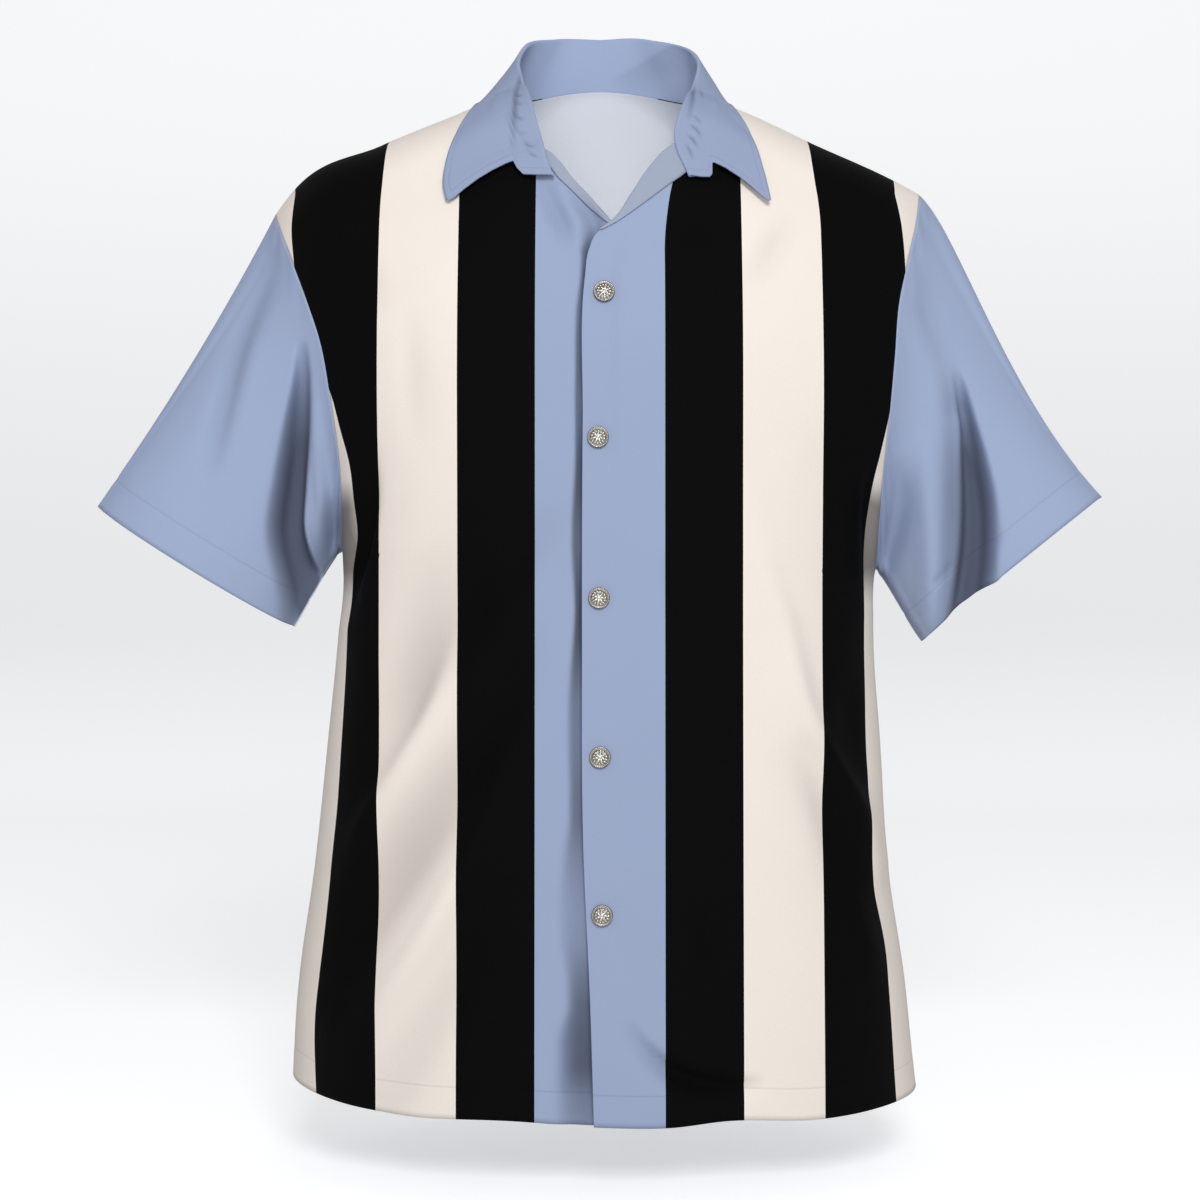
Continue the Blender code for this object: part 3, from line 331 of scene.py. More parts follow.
def make_cloth(name, colour, stitch_distance=None, stripes=False, sheen=0.06, relief=0.35):
    """A cloth material: weave, the printed stripes, a row of stitches by its edges, and painted shade."""
    material, tree, shader = new_material(name, {
        "Specular IOR Level": 0.05,
        "Sheen Weight": sheen,
        "Sheen Roughness": 0.45,
    })
    weave = add_group(tree, weave_group, {
        "Thread pitch": thread_pitch,
        "Unevenness": 0.05,
        "Colour": (*colour, 1.0),
    })
    if stripes:
        ramp = add_node(tree, "ValToRGB")
        ramp.color_ramp.interpolation = "CONSTANT"
        across = reckon(tree, "ABSOLUTE", split(tree, cut_place(tree))[0])
        join(tree, (reckon(tree, "DIVIDE", across, stripe_span), ramp.inputs[0]),
             (ramp.outputs[0], weave.inputs["Colour"]))
        stops = ramp.color_ramp.elements
        while len(stops) > 1:
            stops.remove(stops[-1])
        stops[0].position = 0.0
        stops[0].color = (*colour, 1.0)
        for start, shade in stripe_starts:
            stop = stops.new(start / stripe_span)
            stop.color = (*shade, 1.0)
    finish = weave.outputs["Colour"]
    height = weave.outputs["Height"]
    if stitch_distance is not None:
        stitch = add_group(tree, stitch_group, {
            "Distance": stitch_distance,
            "Stitch length": stitch_length,
        })
        dent = stitch.outputs["Dent"]
        # Painted shade: the cloth is painted a little darker in the stitches' dent.
        finish = mix_colours(tree, reckon(tree, "MULTIPLY", dent, 0.10), finish, (0, 0, 0))
        height = reckon(tree, "SUBTRACT", height, reckon(tree, "MULTIPLY", dent, 3.0))
        height = reckon(tree, "MULTIPLY_ADD", stitch.outputs["Thread"], 2.0, height)
    # Painted shade: the colour is darkened towards black deep in folds, under the arms and on the
    # collar's fall.
    darker = reckon(tree, "MULTIPLY", edge_parts(tree)[2], fold_shade)
    finish = mix_colours(tree, darker, finish, (0, 0, 0))
    bump = add_node(tree, "Bump", {"Strength": relief, "Distance": 0.0001})
    join(tree, (finish, shader.inputs["Base Color"]),
         (weave.outputs["Roughness"], shader.inputs["Roughness"]),
         (height, bump.inputs["Height"]), (bump.outputs[0], shader.inputs["Normal"]))
    return material


striped_cloth = make_cloth("striped cloth", blue, hem_turn, stripes=True, sheen=0.0)
sleeve_cloth = make_cloth("blue sleeve cloth", (0.352, 0.422, 0.605), cuff_turn)
# Painted light: the collar's blue is the same cloth, coloured a little lighter than the sleeves'.
collar_cloth = make_cloth("blue collar cloth", (0.362, 0.432, 0.620), collar_stitch_in)
pale_side = make_cloth("pale wrong side", pale, relief=0.25)

# ----------------------------------------
# Fronts. Two panels cut from shoulder to hem. The wearer's left front lies over the right
# one at the closure, and both open into a V. The cloth is soft and hangs in long diagonal
# creases from the chest to the sides, more on the wearer's right.
# ----------------------------------------
ring_power = 2.5
shoulder_round = 0.040
chest_drop = 0.22
blade_drop = 0.17
neck_half_width = 0.075
front_neck_rise = 0.012
back_neck_rise = 0.0565
back_neck_height = 0.0225
seam_gap = 0.0003
wall = 0.0014


def metres(rows, kept=0):
    """A table written in millimetres, in metres. Its first columns may be kept as they are."""
    table = np.array(rows, dtype=float)
    table[..., kept:] /= 1000.0
    return table


# Torso rings: height, half width to the wearer's right and left, depth to the front and back.
rings = metres([
    (-745, 229, 236, 137, 127), (-700, 227, 231, 136, 126), (-660, 224.5, 227, 134, 124),
    (-570, 212, 214, 131, 122), (-480, 202.5, 208.5, 128, 121), (-405, 195, 203.5, 126, 120),
    (-360, 191.5, 204.3, 125, 119), (-340, 191.7, 206.5, 125, 119), (-320, 193, 210, 124.5, 119),
    (-290, 199.5, 217, 124, 119), (-235, 219, 236, 124, 119), (-190, 233, 245, 124, 118),
    (-155, 244, 247.5, 124, 116), (-120, 246, 247, 124, 114), (30, 246, 247, 124, 112),
])
# Outline of the shoulders from the front, x and height.
shoulder_line = metres([
    (-246, -90), (-228, -67.5), (-162, -35.5), (-101, -11), (-75, 0), (75, 0), (100, -8.5),
    (158, -34.5), (222, -62.5), (244, -74),
])
# Armhole cuts from the underarm to the shoulder, height and x.
armhole_right = metres([
    (-340, -191.5), (-320, -189.5), (-290, -188), (-231, -193.5), (-188, -201.5), (-158, -212),
    (-129, -224), (-104, -235), (-86, -243),
])
armhole_left = metres([
    (-354, 204.5), (-336, 204), (-300, 204.5), (-238, 208.5), (-200, 212), (-158, 216.5), (-127, 224.5),
    (-100, 232), (-70.5, 238.5),
])
# Closure and V edges from the hem to the neck point, height and x.
closure_left = metres([
    (-739, -4.2), (-650, -7), (-550, -11.5), (-400, -12.5), (-250, -12), (-150, -10.5), (-131, -7.8),
    (-118, -1.5), (-110, 9), (-90.4, 22.5), (-67.4, 37), (-53.5, 49), (-44, 63), (-24, 72), (0, 75),
])
closure_right = metres([
    (-733, 18), (-650, 18), (-550, 18), (-400, 18), (-250, 18), (-150, 18), (-128, 16.5), (-111, 8.5),
    (-97, -3), (-86.7, -11.5), (-76, -21.5), (-64, -30), (-57.5, -36), (-47, -53.5), (-26, -69),
    (0, -75),
])
# Hem line, x and height.
hem_line = metres([
    (-229, -724), (-150, -734), (-60, -735), (0, -738.5), (50, -739), (90, -735.5), (150, -738),
    (236, -733),
])
arm_row = 12                    # pattern rows from the hem to the underarm
top_row = 28                    # and to the shoulder seam
fine = 8                        # mesh rows to a pattern row
front_columns = 130
front_gather = 1.3              # the columns lie closer beside the closure
# Where the last black stripe ends towards each side seam: height, then the way round on the
# wearer's right and left.
last_stripe = metres([
    (-740, 213, 226), (-665, 218, 223), (-622, 213, 220), (-578, 208, 209), (-535, 203, 206),
    (-490, 200, 206.5), (-390, 198.5, 207.5), (-357, 201.3, 208.9), (-330, 189.5, 210),
    (-303, 188.5, 212.2), (-280, 190.5, 214), (-255, 195.2, 216), (-230, 199.8, 218),
    (-200, 212, 220.7), (-128, 229, 227), (-106, 231, 225), (-77, 227.5, 219),
])
# Heights of the pattern rows above the underarm, along the closure and the V.
inner_heights_right = metres((-300, -255, -212, -172, -142, -120, -104, -91, -78, -67, -57.5, -47, -31,
                              -16, -5, 0))
inner_heights_left = metres((-300, -255, -212, -172, -142, -122, -108, -94, -80, -66, -53.5, -44, -29,
                             -15, -5, 0))
# How far the stripes drift near the top: height, then the last black stripe's inner edge
# towards the middle on the wearer's right and left, and the blue's edge out beside the V.
stripe_drift = metres([
    (-150, 0, 0, 0), (-120, 0, 0, 0.3), (-103, 0, 0.2, 2), (-87, 0.4, 1.5, 4.6), (-74, 1.2, 3.2, 8),
    (-61, 1.8, 4.5, 13), (-47, 2, 5, 15),
])
# The top layer of the closure stands off the under layer and sinks back beside it.
overlap_stand_off = 0.0024
overlap_from = 0.030
overlap_to = 0.085
overlap_top = -0.050
overlap_fade = 0.040

# Creases. Each is a line of stations down the cloth: x, height, half width on the left and
# on the right as seen from the front, and depth. A negative depth is a ridge.
right_front_creases = [
    # Long trough from the middle of the chest to the side.
    ((-28, -315, 16, 14, 0.6), (-62, -352, 20, 14, 4), (-98, -394, 24, 16, 8.1),
     (-126, -440, 24, 18, 9.8), (-144, -478, 22, 16, 6.9), (-166, -520, 20, 14, 2.3)),
    # Soft trough that leads into it from above.
    ((-56, -237, 18, 18, 0), (-100, -326, 20, 18, 1.7), (-130, -387, 20, 18, 3.5),
     (-141, -450, 20, 18, 2.3)),
    # First ridge, sharp above its lower side.
    ((-88, -370, 9, 14, 0), (-102, -405, 9, 14, -4), (-121, -453, 9, 12, -6.9),
     (-144, -495, 9, 12, -7.5), (-165, -530, 10, 12, -5.8), (-182, -565, 10, 12, -1.2)),
    # Broad trough under the first ridge.
    ((-47, -400, 18, 12, 0.6), (-72, -462, 22, 13, 4.6), (-104, -512, 26, 16, 9.8),
     (-134, -556, 28, 18, 12.1), (-162, -600, 26, 18, 9.2), (-186, -650, 24, 16, 4.6)),
    # Second ridge.
    ((-64, -484, 10, 14, -0.6), (-90, -550, 11, 15, -5.2), (-117, -602, 11, 15, -6.9),
     (-139, -638, 11, 15, -5.8), (-174, -690, 12, 16, -1.2)),
    # Shallow trough under the second ridge, down to the hem.
    ((-70, -560, 18, 16, 0), (-98, -632, 20, 18, 3.5), (-128, -690, 22, 18, 4.6),
     (-150, -728, 22, 18, 3.5)),
    # Short ridge high on the chest.
    ((-62, -330, 8, 10, 0), (-70, -352, 8, 10, -1.9), (-80, -385, 8, 10, 0)),
    # Strain creases from the top button to the collar.
    ((-50, -70, 8, 8, 0), (-36, -90, 9, 7, 4.2), (-27, -108, 9, 6, 5), (-19, -130, 8, 5, 0)),
    ((-24, -80, 6, 6, 0), (-13, -95, 7, 6, 4.8), (-4, -107, 8, 6, 7.5), (-4, -120, 8, 6, 7),
     (-8, -138, 6, 6, 0)),
    # Drag from the shoulder, a ridge and a trough below it.
    ((-215, -74, 12, 12, 0), (-190, -106, 12, 12, -2.9), (-163, -141, 12, 14, 0)),
    ((-194, -104, 14, 12, 0), (-176, -142, 14, 12, 3.5), (-158, -178, 14, 14, 0)),
    # Faint upright trough on the upper chest.
    ((-134, -165, 8, 12, 0), (-133, -215, 9, 12, 1.9), (-130, -275, 9, 12, 0)),
    # Tuck under the arm.
    ((-170, -262, 9, 10, 0), (-166, -300, 8, 7, 6.9), (-172, -334, 8, 6, 10.4), (-181, -366, 8, 7, 5.8),
     (-185, -395, 8, 8, 0)),
    # Nip at the top of the hem's turning.
    ((-36, -710.5, 2, 2, 0), (-26, -710.9, 1.6, 1.6, 1.9), (-10, -710.9, 1.6, 1.6, 1.6)),
]
# The under layer sinks beside the closure's edge, in a fold that narrows and widens.
closure_fold = [
    ((4, -112, 8, 8, 1), (-1.5, -120, 8, 8, 5), (-5, -131, 6.5, 8, 8), (-8.5, -152.6, 4.2, 8, 8.2),
     (-11, -180.4, 5.2, 8, 6.6), (-11.8, -204.7, 4.2, 8, 7.2), (-12, -236, 4.6, 8, 6.6),
     (-12, -260.3, 4.2, 8, 7.4), (-12.5, -284.7, 4, 8, 8.8), (-12.5, -319.4, 6, 8, 7.8),
     (-12.5, -347.2, 6, 8, 7.4), (-12.8, -375, 3.6, 8, 9), (-12.6, -402.8, 5, 8, 9),
     (-12, -444.5, 8.5, 8, 6.2), (-12, -486.2, 8.5, 8, 6), (-11, -527.9, 8.8, 8, 6.8),
     (-10.4, -569.6, 15, 8, 4), (-9.2, -611.3, 16, 8, 3.6), (-8.6, -653, 11, 8, 7.8),
     (-7.8, -687.8, 19, 8, 8.8), (-7.2, -708.6, 18, 8, 8.6), (-6.8, -726, 20, 8, 5),
     (-6, -742, 20, 8, 4.6)),
]
left_front_creases = [
    # Ridge from the chest to the side.
    ((104, -310, 14, 12, 0), (116, -352, 14, 10, -1.9), (130, -396, 12, 10, -4.5),
     (143, -450, 13, 10, -7), (164, -492, 13, 9, -7.7), (186, -527, 13, 9, -5.8),
     (200, -567, 13, 10, -2.6)),
    # Short troughs on either side of it, and a low ridge under them.
    ((170, -425, 10, 12, 0), (180, -462, 10, 12, 3.8), (192, -503, 10, 12, 0)),
    ((138, -468, 14, 10, 0), (150, -490, 14, 10, 3.8), (168, -546, 14, 10, 4.6),
     (179, -594, 14, 12, 0)),
    ((173, -570, 10, 10, 0), (188, -612, 10, 10, -3.6), (202, -650, 10, 10, 0)),
    # Soft drags at the neck and shoulder.
    ((96, -98, 10, 10, 0), (73, -115, 10, 10, 2.3), (52, -131, 10, 10, 0)),
    ((143, -98, 10, 12, 0), (124, -128, 11, 12, 2.8), (106, -160, 11, 12, 0)),
    # Two faint troughs down the inner black stripe.
    ((49, -335, 8, 8, 0), (52, -364, 8, 8, 2.1), (55, -392, 8, 8, 0)),
    ((70, -585, 9, 9, 0), (77, -615, 9, 9, 2.6), (84, -640, 9, 9, 0)),
    # Sag above the hem.
    ((16, -664, 6, 4, 0), (29, -682, 8, 4, 3.4), (54, -701, 10, 4, 9), (81, -709, 9, 4, 8.6),
     (116, -711, 6, 3, 0)),
    # Edge of the facing behind the buttons.
    ((18, -110, 2, 5, 0), (13, -129, 1.8, 5, 0.6), (9.7, -152, 1.8, 5, 0.8), (8.5, -190, 1.8, 5, 0.8),
     (8.3, -260, 1.8, 5, 0.4), (8.5, -330, 1.8, 5, 0)),
    # Tuck under the arm.
    ((198, -272, 7, 7, 0), (195, -305, 6, 7, 5.1), (195, -344, 6, 7, 3.8), (198, -385, 7, 7, 0)),
]


def smooth(table, key, column):
    """Value of a table's column at a key, through its rows as an even curve."""
    keys = table[:, 0]
    values = table[:, column]
    slopes = np.gradient(values, keys)
    place = np.clip(np.asarray(key, dtype=float), keys[0], keys[-1])
    row = np.clip(np.searchsorted(keys, place) - 1, 0, len(keys) - 2)
    span = keys[row + 1] - keys[row]
    t = (place - keys[row]) / span
    return (values[row] * (2 * t ** 3 - 3 * t ** 2 + 1)
            + slopes[row] * span * (t ** 3 - 2 * t ** 2 + t)
            + values[row + 1] * (3 * t ** 2 - 2 * t ** 3)
            + slopes[row + 1] * span * (t ** 3 - t ** 2))


def ease(t):
    """0 to 1 with level ends."""
    t = np.clip(t, 0.0, 1.0)
    return t * t * (3.0 - 2.0 * t)


def unit(vectors):
    return vectors / np.linalg.norm(vectors, axis=-1, keepdims=True)


def run_up(grid):
    """Distance up a grid of points from its first row, or along a line of points."""
    step = np.linalg.norm(np.diff(grid, axis=0), axis=-1)
    return np.concatenate((np.zeros((1, *step.shape[1:])), np.cumsum(step, axis=0)))


def run_across(grid):
    """Distance across a grid of points from its first column."""
    return run_up(grid.transpose(1, 0, 2)).T


def even(steps):
    """Shares from 0 to 1 in even steps."""
    return np.linspace(0.0, 1.0, steps + 1)


def between(places, run, points):
    """Values of a line of points at places along its run."""
    return np.stack([np.interp(places, run, column) for column in points.T], axis=-1)


def spaced(points, shares):
    """Points at given shares of the way along a line of points."""
    run = run_up(points)
    return between(shares * run[-1], run, points)


def crease_depth(creases, grid, flatness=2, steps=30):
    """How far the creases sink the cloth at each point. The greater the flatness, the broader
    their bottoms and the steeper their sides."""
    x = grid[..., 0]
    z = grid[..., 2]
    total = np.zeros(x.shape)
    for stations in creases:
        rows = metres(stations)
        run = run_up(rows[:, :2])
        table = np.column_stack((run, rows))
        line = np.column_stack([smooth(table, np.linspace(0.0, run[-1], steps + 1), column)
                                for column in range(1, 6)])
        best = np.full(x.shape, np.inf)
        sunk = np.zeros(x.shape)
        for first, last in zip(line[:-1], line[1:]):
            way = last[:2] - first[:2]
            share = ((x - first[0]) * way[0] + (z - first[1]) * way[1]) / (way @ way)
            share = np.clip(share, 0.0, 1.0)
            off_x = x - first[0] - share * way[0]
            off_z = z - first[1] - share * way[1]
            distance = np.hypot(off_x, off_z)
            side = way[0] * off_z - way[1] * off_x
            width = np.where(side > 0.0, first[3] + share * (last[3] - first[3]),
                             first[2] + share * (last[2] - first[2]))
            depth = first[4] + share * (last[4] - first[4])
            nearer = distance < best
            best = np.where(nearer, distance, best)
            sunk = np.where(nearer, depth * np.exp(-(distance / width) ** flatness), sunk)
        total = total + sunk
    return total


def grid_normals(points, closed=False):
    """Unit normals of a grid of points that look away from its middle."""
    along = np.gradient(points, axis=0)
    if closed:
        ring = points[:, :-1]
        across = np.roll(ring, -1, axis=1) - np.roll(ring, 1, axis=1)
        across = np.concatenate((across, across[:, :1]), axis=1)
        away = points - points.mean(axis=1, keepdims=True)
    else:
        across = np.gradient(points, axis=1)
        away = points * np.array((1.0, 1.0, 0.0))
    normals = unit(np.cross(across, along))
    return normals * np.sign((normals * away).sum())


def neck_share(x):
    """1 at the middle of the neck opening, 0 at the neck points and beyond."""
    return np.clip(1.0 - (np.asarray(x) / neck_half_width) ** 2, 0.0, 1.0)


def shoulder_height(x):
    return np.where(np.abs(x) < neck_half_width, 0.0, smooth(shoulder_line, x, 1))


def half_width(x_sign, z):
    return smooth(rings, z, 1 if x_sign < 0 else 2)


def underarm_height(x):
    """Level of the underarms, which lies a little lower on the wearer's left."""
    right, left = armhole_right[0], armhole_left[0]
    return right[0] + (left[0] - right[0]) * (x - right[1]) / (left[1] - right[1])


def top_height(x, front):
    """Upper end of a panel at x: the shoulder seam, and at the back the neck seam too."""
    return shoulder_height(x) + neck_share(x) * (front_neck_rise if front else back_neck_height)


def torso_point(x_sign, x, z, front):
    """Point of the torso's front or back at x and z."""
    share = np.clip(np.abs(x) / half_width(x_sign, z), 0.0, 1.0)
    ring = (1.0 - share ** ring_power) ** (1.0 / ring_power)
    rise = front_neck_rise if front else back_neck_rise
    drop = np.clip(shoulder_height(x) + rise * neck_share(x) - z, 0.0, None)
    over = np.clip(drop / shoulder_round, 0.0, 1.0)
    round_part = np.sqrt(1.0 - (1.0 - over) ** 2)
    fullest = chest_drop if front else blade_drop
    slope_part = np.sin(0.5 * math.pi * np.clip(drop / fullest, 0.0, 1.0))
    depth = smooth(rings, z, 3 if front else 4) * ring * 0.5 * (round_part + slope_part)
    return np.stack([x, -depth if front else depth, z], axis=-1)


def overlap_lift(x, z):
    """How far the closure's top layer stands off the torso, over the under layer."""
    lift = overlap_stand_off * ease((overlap_to - x) / (overlap_to - overlap_from))
    return lift * ease((overlap_top - z) / overlap_fade)


def row_line(x_sign, inner, edge, share, front, steps=259):
    """Dense line across a panel from an inner place to an edge place, each x and height.
    share is how far up the row lies: up to 1 from hem to underarm, up to 2 to the top."""
    half_power = 0.5 * ring_power
    angles = []
    for x, z in (inner, edge):
        part = min(abs(x) / float(half_width(x_sign, z)), 1.0)
        angles.append(math.copysign(math.asin(part ** half_power), x * x_sign))
    t = even(steps)
    angle = angles[0] + (angles[1] - angles[0]) * t
    across = np.sign(angle) * np.abs(np.sin(angle)) ** (1.0 / half_power)
    z = inner[1] + (edge[1] - inner[1]) * t
    for _ in range(6):
        x = x_sign * half_width(x_sign, z) * across
        level = underarm_height(x)
        if share <= 1.0:
            hem = smooth(hem_line, x, 1)
            z = hem + (level - hem) * share
        else:
            climb = []
            for end_x, end_z in (inner, edge):
                base = underarm_height(end_x)
                climb.append((end_z - base) / (top_height(end_x, front) - base))
            z = level + (top_height(x, front) - level) * (climb[0] + (climb[1] - climb[0]) * t)
    return torso_point(x_sign, x, z, front)


pattern_rows = np.arange(top_row * fine + 1) / fine
row_shares = np.where(pattern_rows <= arm_row, pattern_rows / arm_row,
                      1.0 + (pattern_rows - arm_row) / (top_row - arm_row))
front_places = even(front_columns) ** front_gather


def outer_edge(x_sign, ease_out):
    """Side seam and armhole as x and height, from the hem to the shoulder seam."""
    armhole = armhole_right if x_sign < 0 else armhole_left
    underarm = armhole[0, 0]
    tip = float(shoulder_height(armhole[-1, 1]))
    hem = float(smooth(hem_line, x_sign, 1))
    below = pattern_rows[pattern_rows < arm_row] / arm_row
    beside = 0.5 - 0.5 * np.cos(math.pi * (row_shares[pattern_rows >= arm_row] - 1.0))
    low = hem + (underarm - hem) * below
    high = underarm + (tip - underarm) * beside
    own = underarm + (armhole[-1, 0] - underarm) * beside
    cut = smooth(armhole, own, 1) + x_sign * ease_out * np.sin(math.pi * beside)
    edge_x = np.concatenate((x_sign * half_width(x_sign, low), cut))
    return np.stack((edge_x, np.concatenate((low, high))), axis=1)


def front_panel(x_sign, closure, upper_heights):
    """Grid of a front: rows from the hem to the shoulder seam, columns from the closure
    and the V to the side seam and the armhole."""
    edge = outer_edge(x_sign, 0.0)
    low = float(smooth(hem_line, 0.0, 1))
    underarm = float(underarm_height(0.0))
    heights = np.concatenate((np.linspace(low, underarm, arm_row + 1), upper_heights))
    inner_z = np.interp(pattern_rows, np.arange(top_row + 1), heights)
    inner_x = smooth(closure, inner_z, 1)
    grid = []
    for row, share in enumerate(row_shares):
        line = row_line(x_sign, (inner_x[row], inner_z[row]), tuple(edge[row]), share, True)
        grid.append(spaced(line, front_places))
    grid = np.array(grid)
    if x_sign > 0:
        grid = grid + grid_normals(grid) * overlap_lift(grid[..., 0], grid[..., 2])[..., None]
    return grid


def stripe_place(grid, first):
    """Distance across the cut cloth from the shirt's middle line: x over the flat of the
    chest, and the way round the side beyond it."""
    steps = np.diff(grid, axis=1)
    sideways = np.abs(steps[..., 0])
    to_side = cream_end - np.abs(grid[:, :-1, 0])
    still_flat = np.clip(to_side / np.maximum(sideways, 0.000001), 0.0, 1.0)
    beyond = np.hypot(steps[..., 0], steps[..., 1])
    step = beyond + (sideways - beyond) * still_flat
    away = np.concatenate((np.zeros((len(grid), 1)), np.cumsum(step, axis=1)), axis=1)
    return grid[:, :1, 0] + first * away


fade_across = 0.10
fade_up = 0.12
step_depth = 0.0004
step_width = 0.0016


def seam_fade(places):
    """0 at a panel's outer and top seams, where its creases end, and 1 away from them."""
    return ease((1.0 - places) / fade_across) * ease((2.0 - row_shares) / fade_up)[:, None]


def turning_step(from_edge, turn):
    """The shallow step in the cloth where the turning of a hem ends."""
    return step_depth * np.exp(-((from_edge - turn) / step_width) ** 2)


def sew_cloth(name, grid, cut, edge, outside, inside, thickness=cloth_thickness, outward=None,
              painted_shade=None):
    """A piece of cloth from a grid of points. cut is each point's place on the flat cloth,
    edge its distance from the hemmed edge and its place along that, and the last argument
    how much shade is painted into its colour, from 0 to 1."""
    rows, columns = grid.shape[:2]
    work = bmesh.new()
    bmesh.ops.create_grid(work, x_segments=columns - 1, y_segments=rows - 1, size=1.0)
    mesh = bpy.data.meshes.new(name)
    work.to_mesh(mesh)
    mesh.vertices.foreach_set("co", grid.reshape(-1).astype(np.float32))
    corners = np.empty(len(mesh.loops), dtype=np.int32)
    mesh.loops.foreach_get("vertex_index", corners)
    for old in list(mesh.uv_layers):
        mesh.uv_layers.remove(old)
    flat = mesh.uv_layers.new(name="cut")
    flat.uv.foreach_set("vector", cut.reshape(-1, 2)[corners].reshape(-1).astype(np.float32))
    sewn = mesh.attributes.new("edge", "FLOAT_VECTOR", "CORNER")
    sewn_values = np.zeros((rows * columns, 3))
    sewn_values[:, :2] = edge.reshape(-1, 2)
    if painted_shade is not None:
        sewn_values[:, 2] = painted_shade.reshape(-1)
    sewn.data.foreach_set("vector", sewn_values[corners].reshape(-1).astype(np.float32))
    work.clear()
    work.from_mesh(mesh)
    bmesh.ops.remove_doubles(work, verts=work.verts, dist=0.000001)
    work.normal_update()
    work.faces.ensure_lookup_table()
    middle_face = work.faces[len(work.faces) // 2]
    wanted = outward if outward is not None else grid_normals(grid)
    nearest = np.argmin(((grid - np.array(middle_face.calc_center_median())) ** 2).sum(axis=-1))
    if Vector(wanted.reshape(-1, 3)[nearest]).dot(middle_face.normal) < 0.0:
        bmesh.ops.reverse_faces(work, faces=work.faces)
    work.to_mesh(mesh)
    work.free()
    mesh.shade_smooth()
    mesh.materials.append(outside)
    mesh.materials.append(inside)
    piece = new_object(name, mesh)
    thicken = piece.modifiers.new("cloth wall", "SOLIDIFY")
    thicken.thickness = thickness
    thicken.offset = -1.0
    thicken.material_offset = 1
    thicken.material_offset_rim = 0
    thicken.use_quality_normals = True
    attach(piece, "root")
    return piece


# How steep the sides of the deep folds are, and the depths at which the painted shade is darkest.
fold_flatness = 4
deepest_front_fold = 0.028
deepest_closure_fold = 0.0090
# The inner black stripe narrows this much at the shoulder, from a height up over the next
# fade, and between two distances out, each with its fade.
neck_drift = 0.005
neck_drift_rise = (-0.050, 0.030)
neck_drift_inner = (0.060, 0.040)
neck_drift_outer = (0.150, 0.050)
stretch_ease = 0.012            # the outer black stripe's own stretch comes in over this width
closure_ease = 0.030            # and the drift beside the V over this one
# Each side's underarm: how far out and how high the arm keeps the light off the body.
arm_shade_out = (0.170, 0.184)
arm_shade_top = (-0.285, -0.310)
arm_shade_foot = (-0.378, -0.345)


def beside_neck(stripe, z):
    """The first black stripe narrows a little at the top of the shoulder."""
    away = np.abs(stripe)
    share = ease((z - neck_drift_rise[0]) / neck_drift_rise[1])
    share = share * ease((away - neck_drift_inner[0]) / neck_drift_inner[1])
    share = share * ease((neck_drift_outer[0] - away) / neck_drift_outer[1])
    return stripe + np.sign(stripe) * neck_drift * share


def under_arm_shade(x, z):
    """How much of the light the arm keeps off the side of the body, 0 to 1."""
    out = ease((np.abs(x) - arm_shade_out[0]) / (arm_shade_out[1] - arm_shade_out[0]))
    below_top = ease((arm_shade_top[0] - z) / (arm_shade_top[0] - arm_shade_top[1]))
    above_foot = ease((z - arm_shade_foot[0]) / (arm_shade_foot[1] - arm_shade_foot[0]))
    return out * below_top * above_foot


def hang_front(x_sign, closure, heights, creases, edge_fold):
    """A front with its creases: its grid, its place on the flat cloth, how it lies to the hem,
    and how much shade is painted into it."""
    grid = front_panel(x_sign, closure, heights)
    cut = np.stack((stripe_place(grid, x_sign), run_up(grid)), axis=-1)
    side = 1 if x_sign < 0 else 2
    # The last black stripe is wider or narrower than its print where the cloth is pulled.
    black_width = last_end - cream_end
    stretch = black_width / (smooth(last_stripe, grid[..., 2], side) - cream_end)
    past_flat = np.abs(cut[..., 0]) - cream_end
    stretch = 1.0 + (stretch - 1.0) * ease(past_flat / stretch_ease)
    cut[..., 0] = np.where(past_flat > 0.0, x_sign * (cream_end + past_flat * stretch), cut[..., 0])
    away = np.abs(cut[..., 0])
    drift = smooth(stripe_drift, grid[..., 2], side)
    beside_edge = ease((away - black_end) / black_width) * ease((last_end - away) / black_width)
    cut[..., 0] += x_sign * drift * beside_edge
    if x_sign > 0:
        beside_v = smooth(stripe_drift, grid[..., 2], 3)
        in_black = ease((black_end - away) / (black_end - blue_end))
        cut[..., 0] -= beside_v * in_black * ease(away / closure_ease)
    cut[..., 0] = beside_neck(cut[..., 0], grid[..., 2])
    depth = crease_depth(creases, grid) * seam_fade(front_places)
    beside_top = crease_depth(edge_fold, grid, fold_flatness)
    # Painted shade: darker deep in the creases and the closure's fold, and a painted shadow under the
    # arm.
    painted_shade = depth / deepest_front_fold + beside_top / deepest_closure_fold
    painted_shade = painted_shade + under_arm_shade(grid[..., 0], grid[..., 2])
    above_hem = cut[..., 1]
    depth = depth + beside_top + turning_step(above_hem, hem_turn)
    folded = grid - grid_normals(grid) * depth[..., None]
    # The stripes hang plumb, so the creases don't carry them sideways.
    cut[..., 0] += folded[..., 0] - grid[..., 0]
    grid = folded
    grid[..., 1] -= 0.5 * seam_gap
    edge = np.stack((above_hem, cut[..., 0] + 1.0), axis=-1)
    return grid, cut, edge, np.clip(painted_shade, 0.0, 1.0)


right_grid, right_cut, right_edge, right_painted_shade = hang_front(-1, closure_right, inner_heights_right,
                                                             right_front_creases, closure_fold)
left_grid, left_cut, left_edge, left_painted_shade = hang_front(1, closure_left, inner_heights_left,
                                                         left_front_creases, [])
right_normals = grid_normals(right_grid)
left_normals = grid_normals(left_grid)
right_front = sew_cloth("right_front_cloth", right_grid, right_cut, right_edge, striped_cloth,
                        pale_side, painted_shade=right_painted_shade)
left_front = sew_cloth("left_front_cloth", left_grid, left_cut, left_edge, striped_cloth,
                       pale_side, painted_shade=left_painted_shade)
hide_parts("front_right")
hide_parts("front_left")

